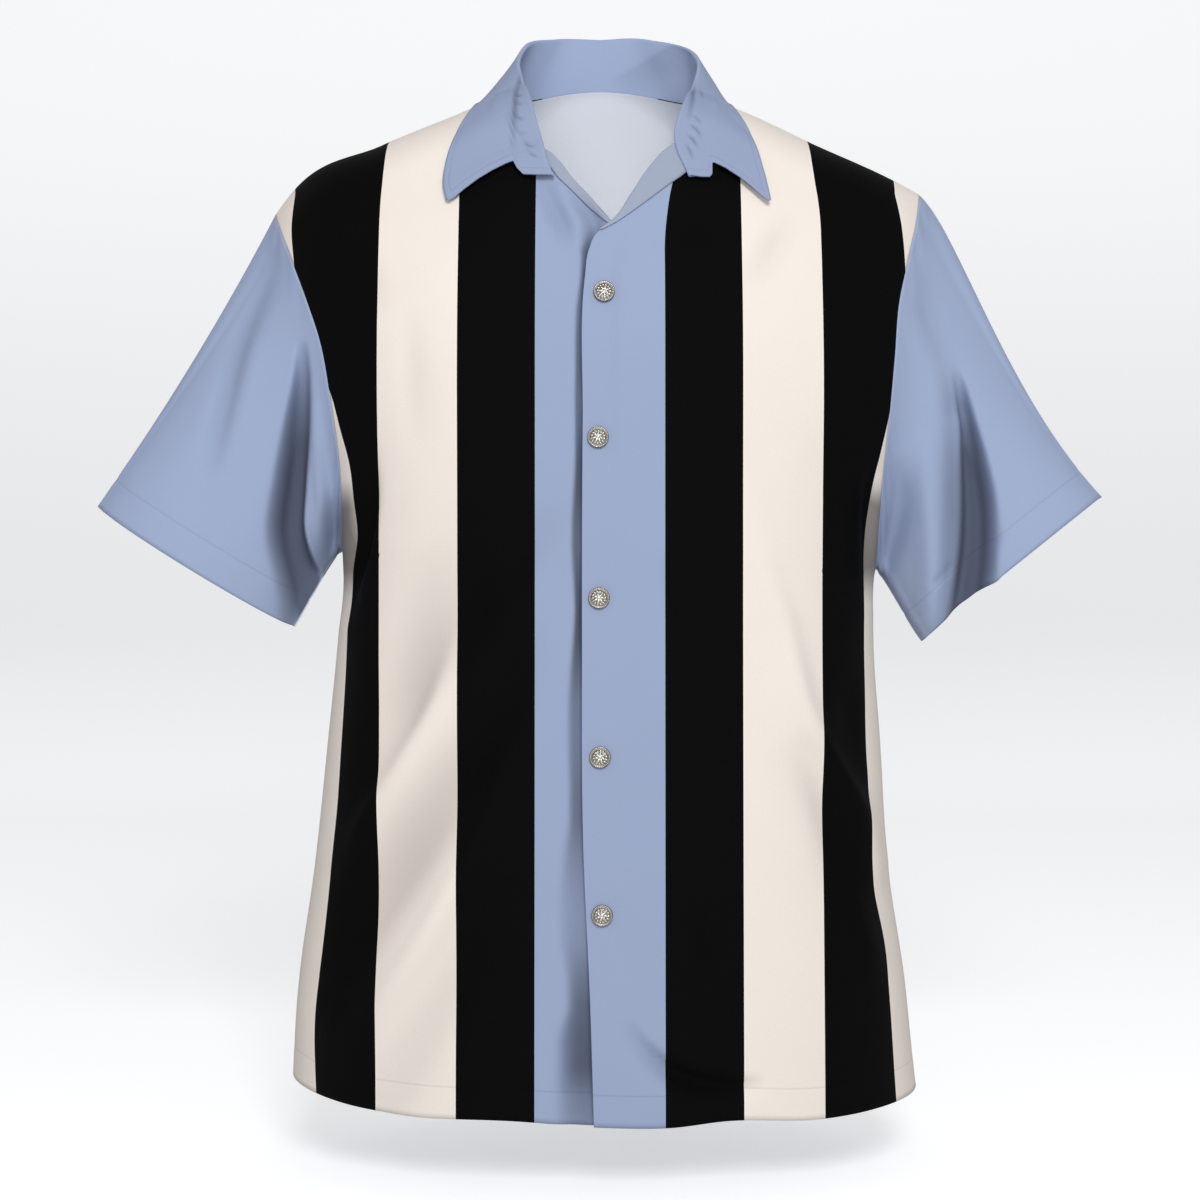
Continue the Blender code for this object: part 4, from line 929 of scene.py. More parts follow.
# ----------------------------------------
# Back. One panel in the same stripes, sewn to the fronts at the shoulders and sides. It
# hangs in a few long creases from the shoulder blades and the underarms.
# ----------------------------------------
back_half_columns = 78
back_neck_columns = 36
back_row_power = 1.5
back_armhole_ease = 0.008
# Long troughs from the underarms, folds down the sides, and faint hollows under the shoulder
# blades and at the lower back.
back_creases = [
    ((-160, -300, 14, 16, 0), (-135, -380, 16, 18, 5.5), (-105, -450, 18, 18, 7.5),
     (-60, -560, 18, 18, 1)),
    ((172, -320, 16, 14, 0), (145, -400, 18, 16, 6), (115, -490, 20, 18, 8.5), (75, -640, 20, 18, 1)),
    ((-188, -450, 12, 14, 0), (-165, -530, 13, 16, -5), (-145, -610, 14, 16, -5.5),
     (-120, -720, 16, 16, -1)),
    ((192, -480, 14, 14, 0), (172, -580, 16, 14, 6), (152, -720, 16, 14, 3)),
    ((-20, -110, 20, 20, 0), (-30, -240, 22, 20, 2.2), (-36, -420, 22, 20, 0)),
    ((60, -180, 16, 18, 0), (52, -330, 18, 18, 2.8), (40, -520, 18, 18, 0)),
    ((-70, -560, 14, 14, 0), (-52, -640, 16, 14, 3.4), (-40, -735, 16, 14, 3)),
]


def back_panel():
    """Grid of the back: rows from the hem to the shoulder seams and the neck seam, columns
    from the wearer's right to left."""
    edges = {sign: outer_edge(sign, back_armhole_ease) for sign in (-1, 1)}
    low = float(smooth(hem_line, 0.0, 1))
    underarm = float(underarm_height(0.0))
    beside = np.clip(row_shares - 1.0, 0.0, 1.0)
    high = underarm + (back_neck_height - underarm) * (1.0 - (1.0 - beside) ** back_row_power)
    middle_z = np.where(row_shares <= 1.0, low + (underarm - low) * row_shares, high)
    grid = []
    for row, share in enumerate(row_shares):
        halves = []
        for sign in (-1, 1):
            line = row_line(sign, (sign * 1e-7, middle_z[row]), tuple(edges[sign][row]), share, False)
            # Columns gather towards the neck points, where the last row turns a corner.
            corner = int(np.argmin(np.abs(np.abs(line[:, 0]) - neck_half_width)))
            neck = spaced(line[:corner + 1], even(back_neck_columns))
            shoulder = spaced(line[corner:], even(back_half_columns - back_neck_columns))
            turned = np.concatenate((neck, shoulder[1:]))
            straight = spaced(line, even(back_half_columns))
            halves.append(straight + (turned - straight) * ease((share - 1.5) / 0.5))
        grid.append(np.concatenate((halves[0][::-1], halves[1][1:])))
    return np.array(grid)


back_grid = back_panel()
back_middle = back_half_columns
back_stripe = np.concatenate((stripe_place(back_grid[:, back_middle::-1], -1)[:, ::-1],
                              stripe_place(back_grid[:, back_middle:], 1)[:, 1:]), axis=1)
back_stripe = beside_neck(back_stripe, back_grid[..., 2])
back_cut = np.stack((back_stripe, run_up(back_grid)), axis=-1)
back_columns = np.abs(np.linspace(-1.0, 1.0, 2 * back_half_columns + 1))
back_depth = crease_depth(back_creases, back_grid)
back_depth = back_depth * seam_fade(back_columns) + turning_step(back_cut[..., 1], hem_turn)
back_grid = back_grid - grid_normals(back_grid) * back_depth[..., None]
back_grid[..., 1] += 0.5 * seam_gap
back_normals = grid_normals(back_grid)
back_edge_places = np.stack((back_cut[..., 1], back_cut[..., 0] + 1.0), axis=-1)
back_cloth = sew_cloth("back_cloth", back_grid, back_cut, back_edge_places, striped_cloth, pale_side)
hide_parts("back")

# ----------------------------------------
# Sleeves. One short wide sleeve at each armhole, cut in plain blue and hemmed at the cuff.
# Each goes on as the shoulder's own surface, then falls, with a deep fold below the
# shoulder where the spare cloth under the arm doubles up.
# ----------------------------------------
cuff_right_outer = (-0.3765, -0.008, -0.3030)
cuff_right_inner = (-0.2280, -0.008, -0.3945)
cuff_left_outer = (0.3743, -0.008, -0.2980)
cuff_left_inner = (0.2400, -0.008, -0.4058)
cuff_half_depth = 0.052
# How far a sleeve goes on along the torso: everywhere, more at the shoulder and the sides.
sleeve_lead = (0.012, 0.030, 0.016)
cuff_lead = 0.35
sleeve_steps = 56
sleeve_half_columns = 124
deepest_sleeve_fold = 0.030
# How much of the room inside a sleeve its creases may take, in front and behind, and what
# stays free between its two sides.
crease_room = (0.60, 0.28)
free_room = 0.007
# The puckers lie this far from the seam and fade over this width. Along it they repeat, bunch
# and swell with these three lengths.
pucker_depth = 0.0007
pucker_place = 0.006
pucker_width = 0.005
pucker_wave = 0.0047
pucker_bunch = 0.031
pucker_swell = 0.043
# How round a sleeve is, the share of its length over which it becomes so, and the sides
# where this fades.
sleeve_round = 0.85
round_by = 0.22
round_sides = (0.35, 0.25)
sag_from = -0.2                 # the sag fades out this far round, where the top is 1
near_seam_fade = 0.020          # the creases begin over this distance from the seam
# A fold's shade fades where the sleeve is thinner than the first, a crease's than the second.
shade_room = (0.030, 0.012)
# How far each sleeve's top line sags: halfway down it, and at the cuff.
right_sleeve_sag = (0.0050, 0.0035)
left_sleeve_sag = (0.0068, 0.0015)
# How much higher a cuff is held in front and behind than at its top and under side.
right_cuff_lift = -0.001
left_cuff_lift = 0.007
right_sleeve_creases = [
    # Hair line beside the seam, and the soft trough that goes on from it.
    ((-234.4, -96, 3, 4, 0), (-230, -110, 3, 4, 0.8), (-224.9, -128, 3, 4, 0)),
    ((-234.4, -110, 7, 9, 0.5), (-248, -148, 9, 8, 4), (-262, -186, 11, 7, 6.6),
     (-271, -225, 10, 7, 6.6), (-278, -258, 9, 7, 4.2), (-286, -292, 9, 9, 0)),
    # The lobe between the deep fold and the armhole stands out.
    ((-206, -215, 4, 5, 0), (-205, -270, 5, 6, -4), (-203, -320, 6, 7, -6), (-203, -352, 6, 7, -4),
     (-204, -372, 6, 6, 0)),
    # Under the arm, beside the torso.
    ((-188, -290, 6, 6, 0), (-193, -322, 9, 6, 17), (-200, -350, 9, 8, 17), (-208, -375, 8, 8, 6)),
]
# The deep folds, soft on one side and sharp on the side towards the wearer's left.
right_sleeve_fold = [
    ((-214.9, -187.7, 4, 3, 0), (-215, -212.4, 6, 5, 12), (-219, -252.3, 9, 7.5, 28),
     (-223, -292.2, 11.5, 7, 38), (-225, -325.6, 13.5, 7, 40), (-217, -361.2, 15, 9, 40),
     (-210, -390, 19, 15, 38)),
]
left_sleeve_fold = [
    ((260, -205, 3, 3, 0), (264, -222, 4, 3.5, 6), (268, -240.7, 5, 4, 16), (273.5, -275, 8, 6.5, 28),
     (277, -305, 10, 8, 34), (277, -340, 11, 8.5, 35), (274, -370, 12, 9, 34), (270, -395, 12, 9, 32)),
]
left_sleeve_creases = [
    # Soft trough from the shoulder into the deep fold.
    ((240, -128, 10, 10, 0), (239, -165, 9, 12, 3), (254, -207, 9, 12, 3), (261, -232, 10, 8, 4)),
    # The soft side of the deep fold.
    ((256, -208, 8, 6, 0), (260, -245, 10, 8, 7), (263.5, -295, 13, 10, 16), (264, -345, 14, 10, 17),
     (261, -395, 14, 10, 13)),
    # The rounded lobe beside it, towards the torso.
    ((233, -250, 8, 8, 0), (237, -300, 9, 9, -4), (240, -345, 9, 9, -5), (241, -392, 9, 9, -3)),
    # Hollow between the arm's under side and the torso.
    ((215, -270, 10, 8, 0), (220, -300, 12, 8, 6), (215, -335, 14, 8, 9), (206, -356, 12, 10, 6)),
    # Small puckers at the cuff.
    ((242, -366, 2.4, 2.6, 0), (247, -361, 2.6, 2.6, 2.2), (251, -354, 2.4, 2.6, 0)),
    ((251, -360, 2.4, 2.6, 0), (255, -353, 2.6, 2.6, 2.4), (259, -345, 2.4, 2.6, 0)),
    ((285, -342, 2.6, 2.8, 0), (288, -332, 2.8, 2.8, 2.4), (293, -322, 2.6, 2.8, 0)),
]
# Behind the arms the same cloth folds in much the same way.
right_sleeve_back_creases = [
    ((-216, -200, 8, 6, 0), (-219, -240, 12, 7, 8), (-227, -290, 16, 9, 14), (-233, -340, 18, 12, 15),
     (-233, -385, 18, 14, 13)),
    ((-250, -140, 10, 10, 0), (-270, -190, 10, 10, 4), (-285, -250, 10, 10, 0)),
]
left_sleeve_back_creases = [
    ((228, -190, 6, 9, 0), (233, -240, 8, 12, 9), (242, -290, 10, 16, 14), (250, -340, 12, 18, 14),
     (252, -390, 14, 18, 12)),
    ((265, -150, 10, 10, 0), (285, -205, 10, 11, 4.5), (298, -270, 10, 10, 0)),
]


def flat_place(grid):
    """Place of each point on the flat cloth, across and up it."""
    return np.stack((run_across(grid), run_up(grid)), axis=-1)


def armhole_loop(front, front_normals, back_column):
    """Loop round an armhole, from the shoulder down the front, under the arm and up the
    back, as points and normals."""
    arm = arm_row * fine
    before = np.concatenate((front[arm:, -1], front_normals[arm:, -1]), axis=1)[::-1]
    after = np.concatenate((back_grid[arm:, back_column], back_normals[arm:, back_column]), axis=1)
    # Front and back meet halfway at the shoulder and under the arm.
    for first, last in ((0, -1), (-1, 0)):
        shared = 0.5 * (before[first] + after[last])
        shared[3:] = unit(shared[3:])
        before[first] = shared
        after[last] = shared
    halves = []
    for line in (before, after):
        run = run_up(line[:, :3])
        halves.append(between(np.linspace(0.0, run[-1], sleeve_half_columns + 1)[:-1], run, line))
    loop = np.concatenate(halves)
    return loop[:, :3], unit(loop[:, 3:])


def sleeve(x_sign, loop, loop_normals, cuff_outer, cuff_inner, sag, lift, front_fold, front_creases,
           rear_creases):
    """Grid of a sleeve, rows from the armhole to the cuff and columns round it from the
    shoulder over the front, and as for a front how it was cut, its hem and its painted shade."""
    run = run_up(loop)
    under = sleeve_half_columns
    total = run[-1] + np.linalg.norm(loop[-1] - loop[0])
    angle = np.where(np.arange(len(loop)) <= under, math.pi * run / run[under],
                     math.pi + math.pi * (run - run[under]) / (total - run[under]))
    # 1 at the top of the arm to -1 under it, and 1 in front to -1 behind.
    to_top = np.cos(angle)
    to_front = np.sin(angle)
    around = np.roll(loop, -1, axis=0) - np.roll(loop, 1, axis=0)
    leaving = unit(np.cross(loop_normals, around))
    leaving = leaving * np.sign(leaving[0, 0] * x_sign)
    for _ in range(12):
        beside = 0.25 * np.roll(leaving, 1, axis=0) + 0.25 * np.roll(leaving, -1, axis=0)
        leaving = unit(0.5 * leaving + beside)
    middle = 0.5 * (np.array(cuff_outer) + cuff_inner)
    major = 0.5 * (np.array(cuff_outer) - cuff_inner)
    minor = np.array((0.0, -cuff_half_depth, 0.0))
    on_top = ease((to_top - sag_from) / (1.0 - sag_from))[:, None]
    cuff = middle + to_top[:, None] * major + to_front[:, None] * minor
    cuff[:, 2] += lift * np.abs(to_front)
    down_arm = unit(np.array((major[2] * x_sign, 0.0, -major[0] * x_sign)))
    under_arm = np.clip(-to_top, 0.0, 1.0) ** 4
    start = loop + leaving * (seam_gap * (1.0 + under_arm))[:, None]
    everywhere, at_shoulder, at_sides = sleeve_lead
    reach = everywhere + at_shoulder * (0.5 + 0.5 * to_top) + at_sides * np.abs(to_front)
    near = start + leaving * reach[:, None]
    length = np.linalg.norm(cuff - start, axis=1)
    far = cuff - down_arm * (cuff_lead * length)[:, None]
    grid = []
    for t in even(sleeve_steps):
        row = ((1 - t) ** 3 * start + 3 * t * (1 - t) ** 2 * near
               + 3 * t * t * (1 - t) * far + t ** 3 * cuff)
        # The sleeve is round at its top and its under side, all the way from the seam.
        centre = row[0, 1] + (row[under, 1] - row[0, 1]) * (0.5 - 0.5 * to_top)
        fullness = -sleeve_round * cuff_half_depth * to_front * ease(t / round_by)
        offset = row[:, 1] - centre
        fuller = np.sign(fullness) * np.hypot(offset, fullness)
        blend = ease(t / 0.10) * ease((round_sides[0] - np.abs(to_front)) / round_sides[1])
        row[:, 1] = centre + offset + (fuller - offset) * blend
        sunk_by = sag[0] * math.sin(math.pi * t) + sag[1] * t
        grid.append(row - unit(major) * sunk_by * on_top)
    grid = np.array(grid)
    grid = np.concatenate((grid, grid[:, :1]), axis=1)
    cut = flat_place(grid)
    from_cuff = cut[-1:, :, 1] - cut[..., 1]
    edge = np.stack((from_cuff, cut[..., 0]), axis=-1)
    outward = grid_normals(grid, True)
    # Creases sink straight back in front and straight forward behind, no further than the
    # sleeve's own depth there leaves room for.
    turned = np.append(angle, 2.0 * math.pi)
    opposite = np.array([np.interp(2.0 * math.pi - turned, turned, row[:, 1]) for row in grid])
    room = np.abs(opposite - grid[..., 1]) + 0.0005
    in_front = turned <= math.pi
    near_seam = ease(cut[..., 1] / near_seam_fade)
    folded_in = crease_depth(front_fold, grid, fold_flatness)
    creased = crease_depth(front_creases, grid)
    sunk_in_front = (creased + folded_in) * near_seam
    sunk_behind = crease_depth(rear_creases, grid) * near_seam
    wanted = np.where(in_front, sunk_in_front, sunk_behind)
    spare = np.clip(room - free_room, 0.00005, None)
    most = np.where(in_front, *crease_room) * spare
    pushed = np.where(in_front, 1.0, -1.0) * most * np.tanh(wanted / most)
    # Painted shade: darker deep in the folds and the creases.
    deep_in = np.where(in_front, folded_in, sunk_behind) * ease(room / shade_room[0])
    shallow_in = np.where(in_front, creased, 0.0) * ease(room / shade_room[1])
    painted_shade = np.clip((deep_in + shallow_in) / deepest_sleeve_fold, 0.0, 1.0)
    # The sleeve's ease puckers a little along its seam.
    around_seam = cut[..., 0]
    pucker = np.sin(around_seam / pucker_wave + 1.6 * np.sin(around_seam / pucker_bunch))
    pucker = pucker * (0.5 + 0.5 * np.sin(around_seam / pucker_swell + 1.0))
    pucker = pucker * ease(np.minimum(turned, 2.0 * math.pi - turned) / 0.3)
    beside_seam = np.exp(-((cut[..., 1] - pucker_place) / pucker_width) ** 2)
    sunk = turning_step(from_cuff, cuff_turn) + pucker_depth * pucker * beside_seam
    grid = grid - outward * sunk[..., None]
    grid[..., 1] += pushed
    grid[:, -1] = grid[:, 0]
    return grid, cut, edge, painted_shade


for name, x_sign, front, front_normals, back_edge_column, outer, inner, *folds in (
        ("right_sleeve_cloth", -1, right_grid, right_normals, 0, cuff_right_outer, cuff_right_inner,
         right_sleeve_sag, right_cuff_lift, right_sleeve_fold, right_sleeve_creases,
         right_sleeve_back_creases),
        ("left_sleeve_cloth", 1, left_grid, left_normals, -1, cuff_left_outer, cuff_left_inner,
         left_sleeve_sag, left_cuff_lift, left_sleeve_fold, left_sleeve_creases,
         left_sleeve_back_creases)):
    loop, loop_normals = armhole_loop(front, front_normals, back_edge_column)
    grid, cut, edge, painted_shade = sleeve(x_sign, loop, loop_normals, outer, inner, *folds)
    piece = sew_cloth(name, grid, cut, edge, sleeve_cloth, pale_side, outward=grid_normals(grid, True),
                      painted_shade=painted_shade)
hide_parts("sleeve_right")
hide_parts("sleeve_left")

# ----------------------------------------
# Facings. A strip of the cloth behind each front's edge. Along the V they turn out over
# the front as narrow revers, where their pale wrong side shows.
# ----------------------------------------
facing_thickness = 0.0009
facing_inside = 0.009
# Pattern row of the front and width of the turned part.
revers_right = metres([
    (arm_row + 6.4, 1.2), (arm_row + 7.25, 2.8), (arm_row + 8, 5), (arm_row + 9, 6.8),
    (arm_row + 10, 7.5), (arm_row + 11, 8.5), (arm_row + 11.8, 9),
], kept=1)
revers_left = metres([
    (arm_row + 6.4, 1.2), (arm_row + 7.25, 5), (arm_row + 8, 10.5), (arm_row + 9, 17),
    (arm_row + 10, 23), (arm_row + 11, 23), (arm_row + 11.8, 20),
], kept=1)
# The facings' pale wrong side is coloured much darker than pale_side: painted shade.
facing_cloth = make_cloth("pale facing cloth", (0.340, 0.382, 0.485), None, relief=0.30)


def on_panel(grid, normals, pattern_row, distance):
    """Point and normal of a front at a pattern row, a distance in from its closure edge,
    or out past the edge where that is negative."""
    row = pattern_row * fine
    low = min(int(math.floor(row)), len(grid) - 2)
    part = row - low
    line = grid[low] * (1 - part) + grid[low + 1] * part
    line_normals = normals[low] * (1 - part) + normals[low + 1] * part
    if distance <= 0.0:
        return line[0] + unit(line[0] - line[1]) * -distance, unit(line_normals[0])
    run = run_up(line)
    return between(distance, run, line), unit(between(distance, run, line_normals))


def raw_normals(grid):
    """Unit normals of a grid of points, on the side that the order of its points gives."""
    return unit(np.cross(np.gradient(grid, axis=1), np.gradient(grid, axis=0)))


def turn_facing(name, front, normals, revers):
    """A facing that wraps the V's edge: behind it, round it and out over the front."""
    behind = -(wall + seam_gap + facing_thickness)
    over = 2.0 * seam_gap + facing_thickness
    past = -(seam_gap + facing_thickness)
    # The path round the edge: distance in from it, or out where negative, and offset.
    wrapped = []
    for pattern_row in np.linspace(revers[0, 0], revers[-1, 0], 41):
        width = float(smooth(revers, pattern_row, 1))
        path = [(share * facing_inside, behind) for share in (1.0, 0.75, 0.5, 0.25)]
        path = path + [(0.0, behind), (0.8 * past, 0.8 * behind), (past, -0.5 * wall),
                       (0.9 * past, 0.5 * over), (0.5 * past, 0.9 * over), (0.0, over)]
        path = path + [(share * width, over) for share in (0.17, 0.33, 0.5, 0.67, 0.83, 1.0)]
        line = []
        for distance, offset in path:
            point, normal = on_panel(front, normals, pattern_row, distance)
            line.append(point + normal * offset)
        wrapped.append(line)
    wrapped = np.array(wrapped)
    outward = raw_normals(wrapped)
    outward = outward * np.sign(outward[20, -1] @ on_panel(front, normals, revers[2, 0], 0.0)[1])
    cut = flat_place(wrapped)
    piece = sew_cloth(name, wrapped, cut, cut, facing_cloth, facing_cloth, facing_thickness, outward)
    return piece


right_facing = turn_facing("right_facing_cloth", right_grid, right_normals, revers_right)
left_facing = turn_facing("left_facing_cloth", left_grid, left_normals, revers_left)
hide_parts("facing_right")
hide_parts("facing_left")

# ----------------------------------------
# Camp collar. Two layers of blue cloth sewn together, turned and edge stitched. A short
# stand rises from the neck seam to a soft roll, and the fall comes down to two points.
# It is notched where it meets the front, and the roll gathers in small creases.
# ----------------------------------------
collar_thickness = 0.0012
collar_roll = 0.0018            # radius of the roll
collar_bow = 0.002              # the fall bows out this far between its roll and its edge
collar_lap = 0.002              # the base laps this far over the panels
collar_seat = 0.0009            # and stands this far off them
collar_end_from = 0.55          # the ends' own shape begins at this place
stand_cover = (0.62, 0.20)      # the fall clears the stand up to this share, and fades over the next
# The gorge, where the collar leaves the V's edge: its pattern row and its place along the
# collar. Each end lies on its front at a pattern row and a distance in from the edge.
gorge_row = arm_row + 12
gorge_place = 0.87
gorge_end_right = (arm_row + 10.1, 0.0190)
gorge_end_left = (arm_row + 10.35, 0.0370)
# Place from the middle of the back (0) over the neck point (0.5) to the end (1), then the
# roll's and the outer edge's x, y and z.
collar_right = metres([
    (0.0, 0, 80, 63.5, 0, 100, 4), (0.25, -34, 70, 61.5, -50, 92, 0), (0.4, -54, 40, 50, -76, 60, -5),
    (0.5, -60, 0, 27, -88.5, 4, -5), (0.58, -57.7, -24, 9, -93.5, -40, -15),
    (0.68, -53, -50, -14, -103.5, -70, -39), (0.87, -40.5, -92, -55, -112, -88, -76),
    (1.0, -33.3, -100, -76, -109, -95, -92.5),
], kept=1)
collar_left = metres([
    (0.0, 0, 80, 63.5, 0, 100, 4), (0.25, 36, 70, 61.5, 54, 92, 0), (0.4, 66, 40, 47, 91, 60, -5),
    (0.5, 72.5, 0, 26, 94, 4, -4), (0.58, 69, -25, 5, 98.5, -40, -16),
    (0.68, 63, -50, -19, 108, -69, -39), (0.87, 54.5, -85, -50, 117, -87, -70),
    (1.0, 64, -92, -77, 121.5, -95, -92.5),
], kept=1)
# Ends: how far each line along the collar reaches, from the roll to the outer edge.
collar_end = np.array([
    (0.00, 1.000, 1.000), (0.12, 0.985, 0.995), (0.24, 0.965, 0.985), (0.29, 0.895, 0.970),
    (0.36, 0.897, 0.913), (0.50, 0.908, 0.921), (0.65, 0.927, 0.940), (0.80, 0.957, 0.970),
    (0.92, 0.990, 0.996), (0.97, 0.999, 1.002), (1.00, 0.988, 0.992),
])
deepest_collar_fold = 0.0036
neck_back = 0.030               # the stand's drag lies behind this depth
fall_shade = 0.23               # painted shade: the fall in front of the neck is darkened this much against the stand
stand_steps = 24
roll_steps = 4
fall_steps = 34
collar_columns = (34, 44, 18)   # to the neck point, on to the gorge, and on to the end
collar_creases = [
    # Line of the roll's crease on the wearer's right, and the small gathers beside it.
    ((-56.3, 28, 1.2, 2.2, 0.4), (-61.5, 0, 1.1, 2.2, 1.5), (-62.2, -29, 1.1, 2.2, 1.8),
     (-63.2, -50, 1.1, 2.2, 0.4)),
    ((-61, 10, 0.9, 0.9, 0.2), (-57.5, 5, 1, 1, 0.9), (-54.5, 4, 0.9, 0.9, 0)),
    ((-61.5, -6, 0.9, 0.9, 0.4), (-58.5, -10, 1, 1, 1.2), (-55, -9, 0.9, 0.9, 0)),
    ((-60.5, -14, 0.9, 0.9, 0.2), (-58, -18, 1, 1, 1), (-54.5, -16.5, 0.9, 0.9, 0)),
    ((-61.2, -26, 0.9, 0.9, 0.4), (-57.5, -31, 1, 1, 1.2), (-53, -29, 0.9, 0.9, 0)),
    ((-60, -37, 0.9, 0.9, 0.3), (-56, -43, 1, 1, 1), (-51, -41, 0.9, 0.9, 0)),
    ((-55.5, -46, 0.9, 0.9, 0.2), (-51.5, -52, 1, 1, 1.3), (-45, -53.5, 0.9, 0.9, 0)),
    ((-52, -55, 0.9, 0.9, 0.2), (-48, -60, 1, 1, 1.1), (-43, -62.5, 0.9, 0.9, 0)),
    # The same on the wearer's left, where the crease lies nearer the opening.
    ((65.5, 32, 2.2, 1.2, 0.4), (69, 6, 2.2, 1.1, 1.8), (67.5, -12, 2.2, 1.1, 1.5),
     (64, -30, 2.2, 1.2, 0.4)),
    ((72.5, 4, 0.9, 0.9, 0), (74.5, -4, 1, 1, 0.9), (74, -12, 0.9, 0.9, 0)),
    ((61.5, -43, 1, 1, 0), (65.5, -46.5, 1, 1, 1.4), (70, -55, 1, 1, 0)),
    ((63, -35, 1, 1, 0), (67.5, -38, 1, 1, 1.4), (73.5, -47, 1, 1, 0)),
    ((60.5, -50, 1, 1, 0), (63.5, -55, 1, 1, 1.3), (66, -64, 1, 1, 0)),
    ((65, -27, 0.9, 0.9, 0), (69, -30, 1, 1, 0.9), (73, -37, 0.9, 0.9, 0)),
]
# The drag across the stand behind the neck.
collar_drag = [
    ((6, 29, 16, 2.5, 0), (25, 38.5, 18, 2.5, 0.6), (44, 48, 22, 2.5, 0.8), (60, 56, 24, 2.5, 0.8)),
]


def clear_of_torso(points, clearance):
    """Points moved out, square to the torso's outline at their own x, until they clear it."""
    cleared = points.copy()
    clearance = np.broadcast_to(clearance, points.shape[:-1])
    drops = 0.20 * even(89) ** 2
    for place in np.ndindex(points.shape[:-1]):
        x, y, z = points[place]
        front = y < 0.0
        heights = float(top_height(x, front)) - drops
        outline = torso_point(-1 if x < 0.0 else 1, np.full(len(drops), x), heights, front)[:, 1:]
        along = unit(np.gradient(outline, axis=0))
        outward = np.stack((along[:, 1], -along[:, 0]), axis=1) * (1.0 if front else -1.0)
        nearest = int(np.argmin(((outline - (y, z)) ** 2).sum(axis=1)))
        distance = float((np.array((y, z)) - outline[nearest]) @ outward[nearest])
        wanted = clearance[place]
        if front and x > 0.0:
            wanted = wanted + overlap_lift(x, z)
        if distance < wanted:
            cleared[place][1:] += outward[nearest] * (wanted - distance)
    return cleared


def collar_half(front, front_normals, x_sign, table, gorge_end, end_column):
    """Grid of half of the collar: rows from its base over the roll to the outer edge,
    columns from the middle of the back to its end."""
    neck_columns = [back_middle + x_sign * column for column in range(back_neck_columns)]
    v_rows = list(range(len(front) - 1, gorge_row * fine - 1, -1))
    edge = np.concatenate((back_grid[-1, neck_columns], front[v_rows, 0]))
    edge_normals = np.concatenate((back_normals[-1, neck_columns], front_normals[v_rows, 0]))
    run = run_up(edge)
    corner = run[back_neck_columns]
    edge_place = np.where(run <= corner, 0.5 * run / corner,
                          0.5 + (gorge_place - 0.5) * (run - corner) / (run[-1] - corner))
    along = unit(np.gradient(edge, axis=0))
    inward = unit(np.cross(edge_normals, along))
    inward = inward * np.sign(inward[0] @ np.array((0.0, -1.0, 1.0)))
    base_line = edge - inward * collar_lap + edge_normals * collar_seat

    def base(place):
        """Point and the panel's normal at the collar's base."""
        if place <= gorge_place:
            return between(place, edge_place, base_line), between(place, edge_place, edge_normals)
        part = (place - gorge_place) / (1.0 - gorge_place)
        row = gorge_row + (gorge_end[0] - gorge_row) * part
        distance = collar_lap + (gorge_end[1] - collar_lap) * part
        point, normal = on_panel(front, front_normals, row, distance)
        return point + normal * collar_seat, normal

    def read(place, columns):
        return np.array([smooth(table, place, column) for column in columns])

    def section(place):
        """The collar's section at a place: its foot, roll and outer edge, the way up the
        stand, and the way out over the panel."""
        roll = read(place, (1, 2, 3))
        if place > 0.5:
            roll = clear_of_torso(roll[None], collar_seat)[0]
        outer = read(place, (4, 5, 6))
        ahead = read(min(place + 0.01, 1.0), (1, 2, 3))
        behind = read(max(place - 0.01, 0.0), (1, 2, 3))
        foot, normal = base(place)
        stand = unit(roll - foot)
        along_roll = ahead - behind if place > 0.0 else np.array((1.0, 0.0, 0.0))
        over = unit(np.cross(stand, along_roll))
        over = over * np.sign(over @ normal)
        return foot, roll, outer, stand, over

    to_neck, to_gorge, to_end = collar_columns
    places = np.concatenate((np.linspace(0.0, 0.5, to_neck)[:-1],
                             np.linspace(0.5, gorge_place, to_gorge)[:-1],
                             np.linspace(gorge_place, 1.0, to_end)))
    across_steps = even(fall_steps)
    reaches = np.interp(across_steps, collar_end[:, 0], collar_end[:, end_column])
    columns = []
    for place in places:
        foot, roll, outer, stand, over = section(place)
        line = [foot + (roll - foot) * share for share in even(stand_steps)]
        for turn in np.linspace(0.0, math.pi, roll_steps + 2)[1:-1]:
            line.append(roll + collar_roll * (over * (1.0 - math.cos(turn)) + stand * math.sin(turn)))
        for across, reach in zip(across_steps, reaches):
            share = float(ease((place - collar_end_from) / (1.0 - collar_end_from)))
            own = place - (1.0 - reach) * share
            foot, roll, outer, stand, over = section(own)
            start = roll + 2.0 * collar_roll * over
            line.append(start + (outer - start) * across + over * collar_bow * math.sin(math.pi * across))
        columns.append(line)
    grid = np.array(columns).transpose(1, 0, 2)
    over_stand = ease((stand_cover[0] - across_steps[:, None]) / stand_cover[1])
    clearance = collar_thickness + collar_seat + (collar_thickness + 3.0 * seam_gap) * over_stand
    fall = len(grid) - len(across_steps)
    grid[fall:] = clear_of_torso(grid[fall:], clearance)
    return grid


collar_right_half = collar_half(right_grid, right_normals, -1, collar_right, gorge_end_right, 1)
collar_left_half = collar_half(left_grid, left_normals, 1, collar_left, gorge_end_left, 2)
collar_middle = collar_right_half.shape[1] - 1
collar_grid = np.concatenate((collar_right_half[:, :0:-1], collar_left_half), axis=1)
collar_out = raw_normals(collar_grid)
collar_out = collar_out * np.sign(collar_out[-1, collar_middle, 1])
on_fall = ease((np.arange(len(collar_grid)) - stand_steps - 2) / 4.0)[:, None]
collar_depth = crease_depth(collar_creases, collar_grid) * on_fall
